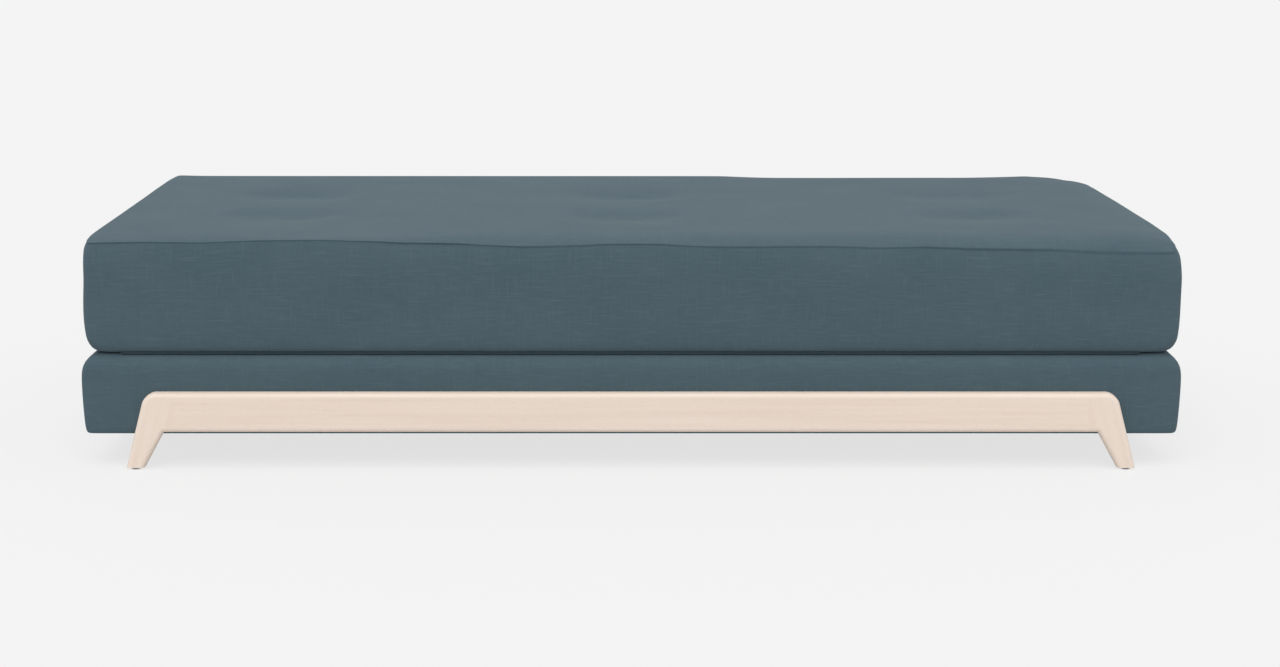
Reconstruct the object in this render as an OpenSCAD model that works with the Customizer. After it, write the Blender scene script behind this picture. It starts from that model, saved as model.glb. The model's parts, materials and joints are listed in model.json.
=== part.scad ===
// Backless sofa bed: a tufted mattress folds forward off an upholstered base on two wooden bridges.
// X runs along the length, the front faces -Y, Z is up, and the origin is on the floor at the middle.

/* [Overall] */
// Length of the upholstered base
bed_length = 2000; // [1800:10:2200]
// Depth of the upholstered base from front to back
bed_depth = 880; // [800:10:1000]
// Height of the base's top above the floor
base_height = 212; // [200:1:240]
// Height of the base's underside above the floor
base_clearance = 62; // [50:1:75]

/* [Mattress] */
// How far the mattress stands in from the base all round
mattress_inset = 3; // [1:0.5:10]
// Radius of the mattress's upright corners
mattress_corner_r = 32; // [15:1:60]
// Radius of the mattress's lower edge
mattress_edge_r = 22; // [14:1:35]
// How far the border draws in from its fullest line to the top seam
border_draw = 8; // [2:0.5:15]
// Height that the top swells above its seam
mattress_crown = 12; // [6:1:20]
// Distance from the seam over which the top rises to its crown
crown_run = 240; // [120:10:360]
// Thickness of the covers' fabric with its backing
cover_t = 2.5; // [1.5:0.5:4]
// Thickness of the wadding above and below the foam core
wadding_t = 14; // [8:1:25]
// Height left under the mattress when it lies unfolded on the floor
floor_gap = 2; // [0.5:0.5:10]

/* [Tufts] */
// Number of tufts along the length
tuft_columns = 3; // [1:1:4]
// Number of tufts from front to back
tuft_rows = 2; // [1:1:3]
// Depth of a tuft's dimple
tuft_depth = 7; // [2:0.5:8]
// Width of a tuft's dimple along the length
tuft_w = 220; // [120:10:260]
// Width of a tuft's dimple from front to back
tuft_d = 150; // [100:10:200]
// Radius of the cord that holds a tuft down
tie_r = 1.25; // [0.8:0.05:2]
// Radius of the felt washer under a tuft's cord
washer_felt_r = 16; // [10:1:25]
// Thickness of that felt washer
washer_felt_t = 3; // [1:0.5:5]

/* [Base upholstery] */
// Radius of the base's upper edge
base_edge_r = 28; // [15:1:40]
// Radius of the base's lower edge
base_foot_r = 5; // [3:0.5:7]
// Largest radius of the base's upright corners
base_corner_r = 20; // [8:1:20]
// How far the base's ends draw in towards the floor
base_draw = 5; // [1:0.5:10]
// Thickness of the padding and fabric on the base's sides
base_pad_t = 10; // [9:1:14]
// Thickness of the base's foam pad
base_foam_t = 45; // [30:1:55]
// Width of the fabric that turns in under the base
fabric_return_w = 42; // [32:1:60]
// Thickness of the felt between the foam pad and the slats
deck_felt_t = 1.5; // [1:0.5:3]
// Thickness of the dust cover under the base
dust_cover_t = 1; // [0.6:0.1:1.5]
// Distance between the dust cover's staples
staple_pitch = 110; // [60:10:160]

/* [Wooden box] */
// Thickness of the box's boards
board_t = 18; // [15:1:22]
// Width of a corner block
block_w = 45; // [35:1:60]
// Width of a slat
slat_w = 70; // [50:1:85]
// Thickness of a slat
slat_t = 14; // [10:1:18]
// Number of slats
slat_count = 14; // [12:1:18]
// Width of the ledge that carries the slats' ends
ledge_w = 28; // [20:1:35]
// Height of that ledge
ledge_h = 22; // [16:1:30]
// Width of the centre beam
beam_w = 28; // [20:1:40]
// Height left under the centre beam
beam_gap = 24; // [15:1:32]
// Length and width of the cleat under each end of the centre beam
cleat_w = 50; // [42:1:70]
// Width of the ribbons that space the slats
ribbon_w = 20; // [12:1:30]
// Thickness of those ribbons
ribbon_t = 0.8; // [0.5:0.1:1.2]

/* [Bridges] */
// Height of a rail's underside above the floor
rail_clearance = 70; // [66:1:80]
// Height of a rail
rail_h = 73; // [55:1:75]
// Thickness of rails and legs
rail_t = 22; // [19:1:28]
// Rounding of the outer edges of rails and legs
rail_edge_r = 8; // [3:0.5:9]
// Easing of the edges that lie against the base
back_edge_r = 2; // [1:0.5:3]
// Radius of a bridge's upper corners
bridge_corner_r = 27; // [20:1:35]
// How far a foot's outer edge stands in from the base's end
foot_inset = 73; // [50:1:120]
// Lean of a leg's outer edge
leg_splay = 15.3; // [5:0.1:18]
// Width of a foot
foot_w = 33; // [28:1:40]
// Width of a leg where it meets the rail's underside
leg_head_w = 52; // [45:1:65]
// Length of rail that is one piece with the leg
leg_stub = 20; // [5:1:40]
// Radius of the dowels between a leg and its rail
dowel_r = 4; // [3:0.5:5]
// Length of those dowels
dowel_l = 40; // [30:1:50]
// Distance between the two dowels of a joint
dowel_pitch = 30; // [20:1:36]
// Thickness of a foot glide
glide_t = 3; // [2:0.5:5]
// Radius of a foot glide
glide_r = 8; // [6:0.5:9]

/* [Bolts and screws] */
// Radius of a frame bolt's shank
bolt_r = 3; // [2.5:0.5:3.5]
// Radius of a frame bolt's head
bolt_head_r = 5.5; // [4.5:0.5:6.5]
// Height of a frame bolt's head
bolt_head_h = 3.3; // [2.5:0.1:5]
// Radius of the washer under a bolt's head
washer_r = 9; // [7.5:0.5:11]
// Thickness of that washer
washer_t = 1.6; // [1:0.1:2.5]
// Outer radius of a threaded insert
insert_r = 4.5; // [4.2:0.1:5.5]
// Length of a threaded insert
insert_l = 13; // [10:1:15]
// Radius of a box screw's shank
screw_r = 2; // [1.5:0.1:2.5]
// Length of a box screw
screw_l = 40; // [30:1:50]
// Radius of a box screw's head
screw_head_r = 4; // [3:0.1:5]
// Height of a box screw's countersunk head
screw_head_h = 2.6; // [2:0.1:4]

/* [Hinge and zip] */
// Clearance between the unfolded mattress and the face of the front rail
fold_clear = 3; // [1:0.5:10]
// Thickness of the fabric hinge's sewn edges
hinge_strip_t = 1; // [0.6:0.1:1.5]
// Height of the zip's tape
zip_tape_h = 24; // [18:1:32]
// Thickness of the zip's tape
zip_tape_t = 0.8; // [0.5:0.1:1.2]
// Width of the zip's coil
zip_coil_w = 5.6; // [4:0.2:7]
// Height of the zip's coil
zip_coil_h = 2; // [1.5:0.1:3]
// Length of the zip's slider
slider_l = 13; // [10:0.5:18]
// Width of the zip's slider
slider_w = 11; // [10:0.5:14]
// Thickness of the slider's top plate
slider_plate_t = 1.8; // [1.2:0.1:3]
// Radius of the pin that carries the pull tab
pull_pin_r = 0.9; // [0.6:0.1:1.2]
// Length of the pull tab from its pin
pull_l = 26; // [18:1:35]
// Width of the pull tab
pull_w = 8; // [7:0.5:11]
// Thickness of the pull tab
pull_t = 1.6; // [1:0.1:2.2]

/* [Hidden] */

// Colours of the finishes
fabric = [0.36, 0.43, 0.46];
pale_wood = [0.90, 0.83, 0.77];
pine = [0.85, 0.72, 0.52];
foam_cream = [0.93, 0.90, 0.80];
wadding_white = [0.94, 0.94, 0.92];
felt_grey = [0.55, 0.55, 0.55];
black_cloth = [0.16, 0.16, 0.17];
dark_webbing = [0.20, 0.25, 0.27];
steel = [0.72, 0.73, 0.75];
brass = [0.78, 0.66, 0.36];
dark_plastic = [0.22, 0.26, 0.29];

// Fits: overrun of cuts, gap between soft pieces that move apart, and looseness of bolts and pins
overrun = 4;
soft_gap = 0.3;
hole_clear = 0.2;
pin_clear = 0.1;
end_clear = 1;
round_fn = 32;

// Half sizes of the base and of the mattress
base_half = [bed_length / 2, bed_depth / 2];
mattress_half = base_half - [mattress_inset, mattress_inset];

// Heights of the base's layers, from the underside up
box_z0 = base_clearance + cover_t;
foam_z0 = base_height - cover_t - base_foam_t;
box_z1 = foam_z0 - deck_felt_t;
slat_z1 = box_z1 - ribbon_t;
slat_z0 = slat_z1 - slat_t;
ledge_z0 = slat_z0 - ledge_h;
beam_z0 = base_clearance + beam_gap;
base_full_z = base_height - base_edge_r;

// The box inside the padding, and the space inside its boards
box_half = base_half - [base_draw + base_pad_t, base_pad_t];
inner_half = box_half - [board_t, board_t];
block_h = slat_z0 - box_z0;

// The mattress is as thick as it can be and still lie level with the base once it is unfolded
mattress_z0 = base_height + soft_gap;
mattress_t = base_height - mattress_crown - floor_gap;
seam_z = mattress_z0 + mattress_t;
hinge_z = base_height + soft_gap / 2;
hinge_y = -(base_half.y + mattress_half.y + rail_t + fold_clear) / 2;

// Heights inside the mattress
core_z0 = mattress_z0 + cover_t + wadding_t;
core_z1 = seam_z - wadding_t;

// Bridges: the leg's outline follows from the foot, the splay and the rail
rail_z1 = rail_clearance + rail_h;
foot_out_x = base_half.x - foot_inset;
leg_inner_x = foot_out_x - (rail_clearance - glide_t) * tan(leg_splay) - leg_head_w;
joint_x = leg_inner_x - leg_stub;
rail_mid_z = rail_clearance + rail_h / 2;
plate_mid_y = -(base_half.y + rail_t / 2);
glide_x = foot_out_x - foot_w / 2;
nail_r = 1.2;
nail_l = 14;

// Bolts run from inside the box, through board and padding, into the inserts in the rails
bolt_shares = [-0.85, -0.3, 0.3, 0.85];
bolt_z = min(rail_mid_z, ledge_z0 - washer_r - end_clear);
bolt_tip_gap = 2.5;
bolt_l = washer_t + board_t + base_pad_t + insert_l - bolt_tip_gap;
socket_r = 2.3;
socket_share = 0.6;

// Screws at the box's corners, as shares of the corner block's height
front_screw_shares = [0.25, 0.75];
end_screw_shares = [0.5, 0.92];

// Zip: its tape lies on the upright part of the border's back
zip_share = 0.88;
zip_l = zip_share * 2 * (mattress_half.x - mattress_corner_r);
zip_z = mattress_z0 + mattress_edge_r + zip_tape_h / 2 + end_clear;
zip_y = mattress_half.y + zip_tape_t;
stop_l = 4;
slider_lip = slider_w / 2 - zip_coil_w / 2 - hole_clear;
slider_y0 = zip_y + soft_gap;
slider_plate_y = zip_y + zip_coil_h + soft_gap;
slider_y1 = slider_plate_y + slider_plate_t;
slider_x = -(zip_l / 2 - stop_l - soft_gap - slider_l / 2);
pull_eye_r = 2.3;
pull_eye_w = 4;
pull_neck_l = 5;
ear_t = 1.3;
ear_gap = pull_eye_w + 2 * soft_gap;
pull_pin_y = slider_y1 + pull_eye_r + soft_gap;

// Staple sizes
staple_w = 10;
staple_leg = 6;
staple_wire = 0.7;
staple_inset = 12;

// Width of the strips that the soft surfaces are divided into
lane_w = 80;
corner_mid_share = 0.5;

// Places of a row of equal pitch, centred on zero
function row_places(count, pitch) = [for (i = [0 : count - 1]) (i - (count - 1) / 2) * pitch];

// Divides each gap between stops into strips of about the given width
function divide(stops, width) = concat(
    [for (k = [0 : len(stops) - 2])
        let (gap = stops[k + 1] - stops[k], steps = max(1, round(gap / width)))
        each [for (i = [0 : steps - 1]) stops[k] + gap * i / steps]],
    [stops[len(stops) - 1]]
);

// Stations across a cushion: its corner roundings, then even strips between the stops
function stations(half, r, stops, width) = concat(
    [-half, -half + r * corner_mid_share],
    divide(concat([-half + r], stops, [half - r]), width),
    [half - r * corner_mid_share, half]
);

// The outermost stations, counter-clockwise from above
function rim(xs, ys) = let (nx = len(xs) - 1, ny = len(ys) - 1) concat(
    [for (i = [0 : nx - 1]) [xs[i], ys[0]]],
    [for (j = [0 : ny - 1]) [xs[nx], ys[j]]],
    [for (i = [nx : -1 : 1]) [xs[i], ys[ny]]],
    [for (j = [ny : -1 : 1]) [xs[0], ys[j]]]
);

// Moves a station onto a rectangle with rounded or square corners that is drawn in by inset
function plan(p, half, r, inset, square = false) = let (
    straight = half - [r, r],
    past = [max(0, abs(p.x) - straight.x), max(0, abs(p.y) - straight.y)],
    reach = norm(past),
    k = square || reach == 0 ? 1 : max(past.x, past.y) / reach
) [
    sign(p.x) * (min(abs(p.x), straight.x) + k * past.x) * (half.x - inset.x) / half.x,
    sign(p.y) * (min(abs(p.y), straight.y) + k * past.y) * (half.y - inset.y) / half.y
];

// A closed outline at one height
function level(points, half, r, inset, z, square = false) =
    [for (p = points) let (q = plan(p, half, r, inset, square)) [q.x, q.y, z]];

// The middle of a list of points
function middle(points) = [for (i = [0 : 2]) let (c = [for (p = points) p[i]]) c * [for (v = c) 1] / len(c)];

// A solid skinned over outlines, closed on itself like a tube, or with flat ends.
// An end is one face, or a fan about its middle, which suits a convex end with points along its edges.
module skin(levels, closed = false, fan = false) {
    n = len(levels[0]);
    count = len(levels);
    low = [for (i = [0 : n - 1]) i];
    high = [for (i = [n - 1 : -1 : 0]) (count - 1) * n + i];
    ends = closed ? [] : !fan ? [low, high] : concat(
        [for (i = [0 : n - 1]) [low[i], low[(i + 1) % n], count * n]],
        [for (i = [0 : n - 1]) [high[i], high[(i + 1) % n], count * n + 1]]
    );
    middles = fan ? [middle(levels[0]), middle(levels[count - 1])] : [];
    polyhedron(
        points = concat([for (one = levels) each one], middles),
        faces = concat(
            [for (k = [0 : count - (closed ? 1 : 2)]) for (i = [0 : n - 1])
                let (
                    a = k * n + i,
                    b = k * n + (i + 1) % n,
                    c = (k + 1) % count * n + (i + 1) % n,
                    d = (k + 1) % count * n + i
                )
                each [[a, d, c], [a, c, b]]],
            ends
        ),
        convexity = 6
    );
}

// Numbers of a grid's outermost points, counter-clockwise from above
function rim_numbers(nx, ny) = concat(
    [for (i = [0 : nx - 1]) i * (ny + 1)],
    [for (j = [0 : ny - 1]) nx * (ny + 1) + j],
    [for (i = [nx : -1 : 1]) i * (ny + 1) + ny],
    [for (j = [ny : -1 : 1]) j]
);

// A sheet or block between a surface on a grid and a lower surface, or a flat underside.
// The faces of its rim come first, because a file of a thin sheet can read inside out otherwise.
module quilted(upper, lower, nx, ny, flat = false) {
    n = len(upper);
    edge = rim_numbers(nx, ny);
    below = flat ? [for (i = [0 : len(edge) - 1]) n + i] : [for (e = edge) n + e];
    polyhedron(
        points = concat(upper, lower),
        faces = concat(
            [for (i = [0 : len(edge) - 1])
                let (k = (i + 1) % len(edge))
                each [[below[i], edge[i], edge[k]], [below[i], edge[k], below[k]]]],
            [for (i = [0 : nx - 1]) for (j = [0 : ny - 1])
                let (a = i * (ny + 1) + j, b = a + ny + 1)
                each [[a, a + 1, b + 1], [a, b + 1, b]]],
            flat ? [below] : [for (i = [0 : nx - 1]) for (j = [0 : ny - 1])
                let (a = n + i * (ny + 1) + j, b = a + ny + 1)
                each [[a, b + 1, a + 1], [a, b, b + 1]]]
        ),
        convexity = 6
    );
}

// Mattress stations, with one on each tuft
tuft_xs = row_places(tuft_columns, 2 * mattress_half.x / tuft_columns);
tuft_ys = row_places(tuft_rows, 2 * mattress_half.y / (tuft_rows + 1));
mattress_xs = stations(mattress_half.x, mattress_corner_r, tuft_xs, lane_w);
mattress_ys = stations(mattress_half.y, mattress_corner_r, tuft_ys, lane_w);
mattress_nx = len(mattress_xs) - 1;
mattress_ny = len(mattress_ys) - 1;
mattress_rim = rim(mattress_xs, mattress_ys);

// Border outline outside and inside: height above the underside, and how far in from the fullest line
full_share = 0.62;
shoulder_share = 0.84;
shoulder_draw_share = 0.3;
inner_edge_r = mattress_edge_r - cover_t;
outer_wall = concat(
    [for (a = [0 : 30 : 90]) mattress_edge_r * [1 - cos(a), 1 - sin(a)]],
    [
        [full_share * mattress_t, 0],
        [shoulder_share * mattress_t, shoulder_draw_share * border_draw],
        [mattress_t, border_draw]
    ]
);
inner_wall_bare = concat(
    [for (a = [0 : 45 : 90])
        [mattress_edge_r - inner_edge_r * cos(a), mattress_edge_r - inner_edge_r * sin(a)]],
    [[full_share * mattress_t, cover_t], [mattress_t, border_draw + cover_t]]
);
wadding_line = mattress_t - wadding_t;
inner_wall = concat(
    [for (w = inner_wall_bare) if (w[0] < wadding_line) w],
    [[wadding_line, lookup(wadding_line, inner_wall_bare)]],
    [for (w = inner_wall_bare) if (w[0] > wadding_line) w]
);

// An outline of the mattress at a height above its underside
function mattress_level(inset, height) =
    level(mattress_rim, mattress_half, mattress_corner_r, [inset, inset], mattress_z0 + height);

// The mattress's top: it rises from the seam to the crown, and each tuft pulls it down
function rise(distance) = 1 - pow(1 - min(1, max(0, distance) / crown_run), 3);
function bell(share) = share >= 1 ? 0 : (1 + cos(180 * share)) / 2;
function dimple(p) = max([for (x = tuft_xs) for (y = tuft_ys)
    bell(norm([2 * (p.x - x) / tuft_w, 2 * (p.y - y) / tuft_d]))]);
function top_height(p) =
    mattress_crown * rise(mattress_half.x - abs(p.x)) * rise(mattress_half.y - abs(p.y))
    - tuft_depth * dimple(p);
function on_rim(p) = abs(p.x) >= mattress_half.x || abs(p.y) >= mattress_half.y;
function top_point(p, sink) = let (
    draw = border_draw + sink,
    q = plan(p, mattress_half, mattress_corner_r, [draw, draw])
) [q.x, q.y, seam_z + (on_rim(p) ? 0 : top_height(p) - sink)];
function top_grid(sink) = [for (x = mattress_xs) for (y = mattress_ys) top_point([x, y], sink)];

// Where each tuft's cord meets the underside of the top panel
tuft_points = [for (x = tuft_xs) for (y = tuft_ys) top_point([x, y], cover_t)];

// Base stations and outlines
base_r = min(base_corner_r, 2 * base_pad_t);
base_strip_w = 500;
base_rim = rim(
    stations(base_half.x, base_r, [], base_strip_w),
    stations(base_half.y, base_r, [], base_strip_w)
);
draw_line = [[base_clearance, base_draw], [base_full_z, 0]];
function base_outer(inset, z) =
    level(base_rim, base_half, base_r, [inset + lookup(z, draw_line), inset], z);
function base_inner(inset, z) =
    level(base_rim, base_half, base_r, [inset + base_draw, inset], z, true);
base_inner_top = [for (a = [0 : 45 : 90]) base_inner(
    base_edge_r - (base_edge_r - base_pad_t) * cos(a),
    base_full_z + (base_edge_r - cover_t) * sin(a)
)];

// Bridge outlines: edge profile as inset and depth from the back, and the leg seen from the front
edge_profile = concat(
    [[back_edge_r, 0], [0, back_edge_r]],
    [for (a = [0 : 15 : 90]) [rail_edge_r * (1 - cos(a)), rail_t - rail_edge_r + rail_edge_r * sin(a)]]
);
function leg_outer_x(z) = foot_out_x - (z - glide_t) * tan(leg_splay);
function leg_back_x(z) = leg_inner_x
    + (foot_out_x - foot_w - leg_inner_x) * (rail_clearance - z) / (rail_clearance - glide_t);
corner_c = [
    leg_outer_x(rail_z1 - bridge_corner_r) - bridge_corner_r / cos(leg_splay),
    rail_z1 - bridge_corner_r
];
leg_cut_x = joint_x - rail_edge_r - overrun;
leg_cut_z = glide_t - rail_edge_r - overrun;
leg_outline = concat(
    [[leg_back_x(leg_cut_z), leg_cut_z], [leg_outer_x(leg_cut_z), leg_cut_z]],
    [for (i = [0 : 6]) let (a = leg_splay + (90 - leg_splay) * i / 6)
        corner_c + bridge_corner_r * [cos(a), sin(a)]],
    [[leg_cut_x, rail_z1], [leg_cut_x, rail_clearance], [leg_inner_x, rail_clearance]]
);

// Draws a counter-clockwise outline in by a distance
function inward(a, b) = let (d = (b - a) / norm(b - a)) [-d.y, d.x];
function draw_in(points, distance) = [for (i = [0 : len(points) - 1]) let (
    n = len(points),
    before = inward(points[(i + n - 1) % n], points[i]),
    after = inward(points[i], points[(i + 1) % n])
) points[i] + distance * (before + after) / (1 + before * after)];

// Turns a shape drawn in the YZ plane into a bar along X
module bar_along_x(length) {
    rotate([90, 0, 90]) linear_extrude(length, center = true, convexity = 4) children();
}

// A cylinder along Y, from y towards the back
module pin_along_y(x, y, z, r, length) {
    translate([x, y, z]) rotate([-90, 0, 0]) cylinder(r = r, h = length, $fn = round_fn);
}

// Repeats a shape of the front, or of the right, on the other side
module both_sides_y() { children(); mirror([0, 1, 0]) children(); }
module both_sides_x() { children(); mirror([1, 0, 0]) children(); }

module at_front_bolts() {
    for (s = bolt_shares) translate([s * joint_x, 0, bolt_z]) children();
}

// Dowel holes or dowels of the front bridge's right joint
module front_right_dowels(r, length) {
    for (z = row_places(2, dowel_pitch))
        translate([joint_x, plate_mid_y, rail_mid_z + z]) rotate([0, 90, 0])
            cylinder(r = r, h = length, center = true, $fn = round_fn);
}

module front_rail_shape() {
    difference() {
        bar_along_x(2 * joint_x) polygon(concat(
            [for (e = edge_profile) [-base_half.y - e[1], rail_z1 - e[0]]],
            [for (i = [len(edge_profile) - 1 : -1 : 0])
                [-base_half.y - edge_profile[i][1], rail_clearance + edge_profile[i][0]]]
        ));
        both_sides_x() front_right_dowels(dowel_r + pin_clear, dowel_l + end_clear);
        at_front_bolts() pin_along_y(0, -base_half.y - insert_l - end_clear, 0,
            insert_r + pin_clear / 2, insert_l + end_clear + overrun);
    }
}

module front_right_leg_shape() {
    difference() {
        intersection() {
            skin([for (e = edge_profile)
                [for (p = draw_in(leg_outline, e[0])) [p.x, -base_half.y - e[1], p.y]]]);
            translate([joint_x, -base_half.y - rail_t - overrun, glide_t])
                cube([base_half.x, rail_t + 2 * overrun, rail_z1]);
        }
        front_right_dowels(dowel_r + pin_clear, dowel_l + end_clear);
        translate([glide_x, plate_mid_y, glide_t - overrun])
            cylinder(r = nail_r + pin_clear / 2, h = nail_l + end_clear + overrun, $fn = round_fn);
    }
}

module front_rail() { color(pale_wood) front_rail_shape(); }
module back_rail() { color(pale_wood) mirror([0, 1, 0]) front_rail_shape(); }
module front_right_leg() { color(pale_wood) front_right_leg_shape(); }
module front_left_leg() { color(pale_wood) mirror([1, 0, 0]) front_right_leg_shape(); }
module back_right_leg() { color(pale_wood) mirror([0, 1, 0]) front_right_leg_shape(); }
module back_left_leg() { color(pale_wood) mirror([1, 0, 0]) mirror([0, 1, 0]) front_right_leg_shape(); }

module leg_dowels() {
    color(pine) both_sides_y() both_sides_x() front_right_dowels(dowel_r, dowel_l);
}

module foot_glides() {
    color(dark_plastic) both_sides_y() both_sides_x() translate([glide_x, plate_mid_y, 0]) {
        cylinder(r = glide_r, h = glide_t, $fn = round_fn);
        cylinder(r = nail_r, h = glide_t + nail_l, $fn = round_fn);
    }
}

module threaded_inserts() {
    color(brass) both_sides_y() at_front_bolts() difference() {
        pin_along_y(0, -base_half.y - insert_l, 0, insert_r, insert_l);
        pin_along_y(0, -base_half.y - insert_l - overrun, 0, bolt_r + pin_clear / 2,
            insert_l + 2 * overrun);
    }
}

module frame_bolts() {
    head_y = -inner_half.y + washer_t;
    color(steel) both_sides_y() at_front_bolts() difference() {
        union() {
            pin_along_y(0, head_y - bolt_l, 0, bolt_r, bolt_l + bolt_head_h / 2);
            pin_along_y(0, head_y, 0, bolt_head_r, bolt_head_h);
        }
        translate([0, head_y + (1 - socket_share) * bolt_head_h, 0]) rotate([-90, 0, 0])
            cylinder(r = socket_r, h = bolt_head_h, $fn = 6);
    }
}

module bolt_washers() {
    color(steel) both_sides_y() at_front_bolts() difference() {
        pin_along_y(0, -inner_half.y, 0, washer_r, washer_t);
        pin_along_y(0, -inner_half.y - overrun, 0, bolt_r + hole_clear, washer_t + 2 * overrun);
    }
}

// Countersunk box screw along Y, with its head at the front
module screw_along_y(extra) {
    pin_along_y(0, 0, 0, screw_r + extra, screw_l + extra);
    rotate([-90, 0, 0])
        cylinder(r1 = screw_head_r + extra, r2 = screw_r + extra, h = screw_head_h, $fn = round_fn);
}

// The screws of the front right corner: through the front board, and through the end board
module corner_screws_front(extra) {
    for (s = front_screw_shares)
        translate([inner_half.x - block_w / 2, -box_half.y, box_z0 + s * block_h]) screw_along_y(extra);
}

module corner_screws_end(extra) {
    for (s = end_screw_shares)
        translate([box_half.x, -inner_half.y + block_w / 2, box_z0 + s * block_h])
            rotate([0, 0, 90]) screw_along_y(extra);
}

module front_board_shape() {
    difference() {
        translate([-box_half.x, -box_half.y, box_z0]) cube([2 * box_half.x, board_t, box_z1 - box_z0]);
        at_front_bolts() pin_along_y(0, -box_half.y - overrun, 0, bolt_r + hole_clear,
            board_t + 2 * overrun);
        both_sides_x() corner_screws_front(pin_clear);
    }
}

module right_board_shape() {
    difference() {
        translate([inner_half.x, -inner_half.y, box_z0]) cube([board_t, 2 * inner_half.y, box_z1 - box_z0]);
        both_sides_y() corner_screws_end(pin_clear);
    }
}

module base_front_board() { color(pine) front_board_shape(); }
module base_back_board() { color(pine) mirror([0, 1, 0]) front_board_shape(); }
module base_right_board() { color(pine) right_board_shape(); }
module base_left_board() { color(pine) mirror([1, 0, 0]) right_board_shape(); }

module corner_blocks() {
    color(pine) both_sides_y() both_sides_x() difference() {
        translate([inner_half.x - block_w, -inner_half.y, box_z0]) cube([block_w, block_w, block_h]);
        corner_screws_front(pin_clear);
        corner_screws_end(pin_clear);
    }
}

module box_screws() {
    color(steel) both_sides_y() both_sides_x() {
        corner_screws_front(0);
        corner_screws_end(0);
    }
}

module centre_beam() {
    color(pine) translate([-inner_half.x, -beam_w / 2, beam_z0])
        cube([2 * inner_half.x, beam_w, slat_z0 - beam_z0]);
}

module beam_cleats() {
    color(pine) both_sides_x() translate([inner_half.x - cleat_w, -cleat_w / 2, box_z0])
        cube([cleat_w, cleat_w, beam_z0 - box_z0]);
}

module front_ledge_shape() {
    translate([-inner_half.x + block_w, -inner_half.y, ledge_z0])
        cube([2 * (inner_half.x - block_w), ledge_w, ledge_h]);
}

module front_slat_ledge() { color(pine) front_ledge_shape(); }
module back_slat_ledge() { color(pine) mirror([0, 1, 0]) front_ledge_shape(); }

module bed_slats() {
    slat_half = inner_half.y - end_clear;
    color(pale_wood) for (x = row_places(slat_count, 2 * inner_half.x / slat_count))
        translate([x - slat_w / 2, -slat_half, slat_z0]) cube([slat_w, 2 * slat_half, slat_t]);
}

module slat_ribbons() {
    ribbon_half = inner_half.x - end_clear;
    ribbon_place_share = 0.5;
    color(felt_grey) both_sides_y()
        translate([-ribbon_half, -ribbon_place_share * inner_half.y - ribbon_w / 2, slat_z1])
            cube([2 * ribbon_half, ribbon_w, ribbon_t]);
}

module deck_felt() {
    felt_half = box_half - [end_clear, end_clear];
    color(felt_grey) translate([-felt_half.x, -felt_half.y, box_z1])
        cube([2 * felt_half.x, 2 * felt_half.y, deck_felt_t]);
}

module base_foam() {
    color(foam_cream) skin(concat([base_inner(base_pad_t, foam_z0)], base_inner_top), fan = true);
}

module base_cover() {
    inner_down = [for (i = [len(base_inner_top) - 1 : -1 : 0]) base_inner_top[i]];
    underside = [
        base_inner(base_pad_t, box_z0),
        base_inner(fabric_return_w, box_z0),
        base_inner(fabric_return_w, base_clearance)
    ];
    outer_up = concat(
        [base_outer(base_foot_r, base_clearance), base_outer(0, base_clearance + base_foot_r)],
        [for (a = [0 : 30 : 90])
            base_outer(base_edge_r * (1 - cos(a)), base_full_z + base_edge_r * sin(a))]
    );
    color(fabric) difference() {
        skin(concat(inner_down, underside, outer_up), fan = true);
        both_sides_y() at_front_bolts() pin_along_y(0, -base_half.y - overrun, 0,
            bolt_r + hole_clear, base_pad_t + 2 * overrun);
    }
}

module dust_cover() {
    cloth_half = base_half - [base_draw + base_pad_t, base_pad_t];
    color(black_cloth) translate([-cloth_half.x, -cloth_half.y, base_clearance - dust_cover_t])
        cube([2 * cloth_half.x, 2 * cloth_half.y, dust_cover_t]);
}

// One staple, its crown along X under the dust cover and its legs up in the board
module staple() {
    z = base_clearance - dust_cover_t;
    translate([-staple_w / 2, -staple_wire / 2, z - staple_wire])
        cube([staple_w, staple_wire, staple_wire]);
    for (x = [-staple_w / 2, staple_w / 2 - staple_wire])
        translate([x, -staple_wire / 2, z - staple_wire])
            cube([staple_wire, staple_wire, staple_wire + dust_cover_t + cover_t + staple_leg]);
}

module dust_cover_staples() {
    run = box_half - [staple_inset, staple_inset];
    along_x = floor(2 * run.x / staple_pitch);
    along_y = floor(2 * run.y / staple_pitch) - 1;
    color(steel) {
        both_sides_y() for (x = row_places(along_x, staple_pitch)) translate([x, -run.y, 0]) staple();
        both_sides_x() for (y = row_places(along_y, staple_pitch))
            translate([run.x, y, 0]) rotate([0, 0, 90]) staple();
    }
}

// A strip of cloth on the flat between two points of a rounded front edge, given as [y, z]
module edge_strip(a, b, length) {
    out = -inward(a, b) * hinge_strip_t;
    bar_along_x(length) polygon([a, b, b + out, a + out]);
}

hinge_strip_l = 2 * (mattress_half.x - 2 * mattress_corner_r);

module hinge_strip_base() {
    color(dark_webbing) edge_strip(
        [-base_half.y + base_edge_r * (1 - cos(60)), base_full_z + base_edge_r * sin(60)],
        [-base_half.y + base_edge_r * (1 - cos(30)), base_full_z + base_edge_r * sin(30)],
        hinge_strip_l
    );
}

module hinge_strip_mattress() {
    color(dark_webbing) edge_strip(
        [-mattress_half.y + outer_wall[2][1], mattress_z0 + outer_wall[2][0]],
        [-mattress_half.y + outer_wall[1][1], mattress_z0 + outer_wall[1][0]],
        hinge_strip_l
    );
}

module tuft_bores(z, length) {
    for (p = tuft_points) translate([p.x, p.y, z])
        cylinder(r = tie_r + hole_clear, h = length, $fn = round_fn);
}

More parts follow.
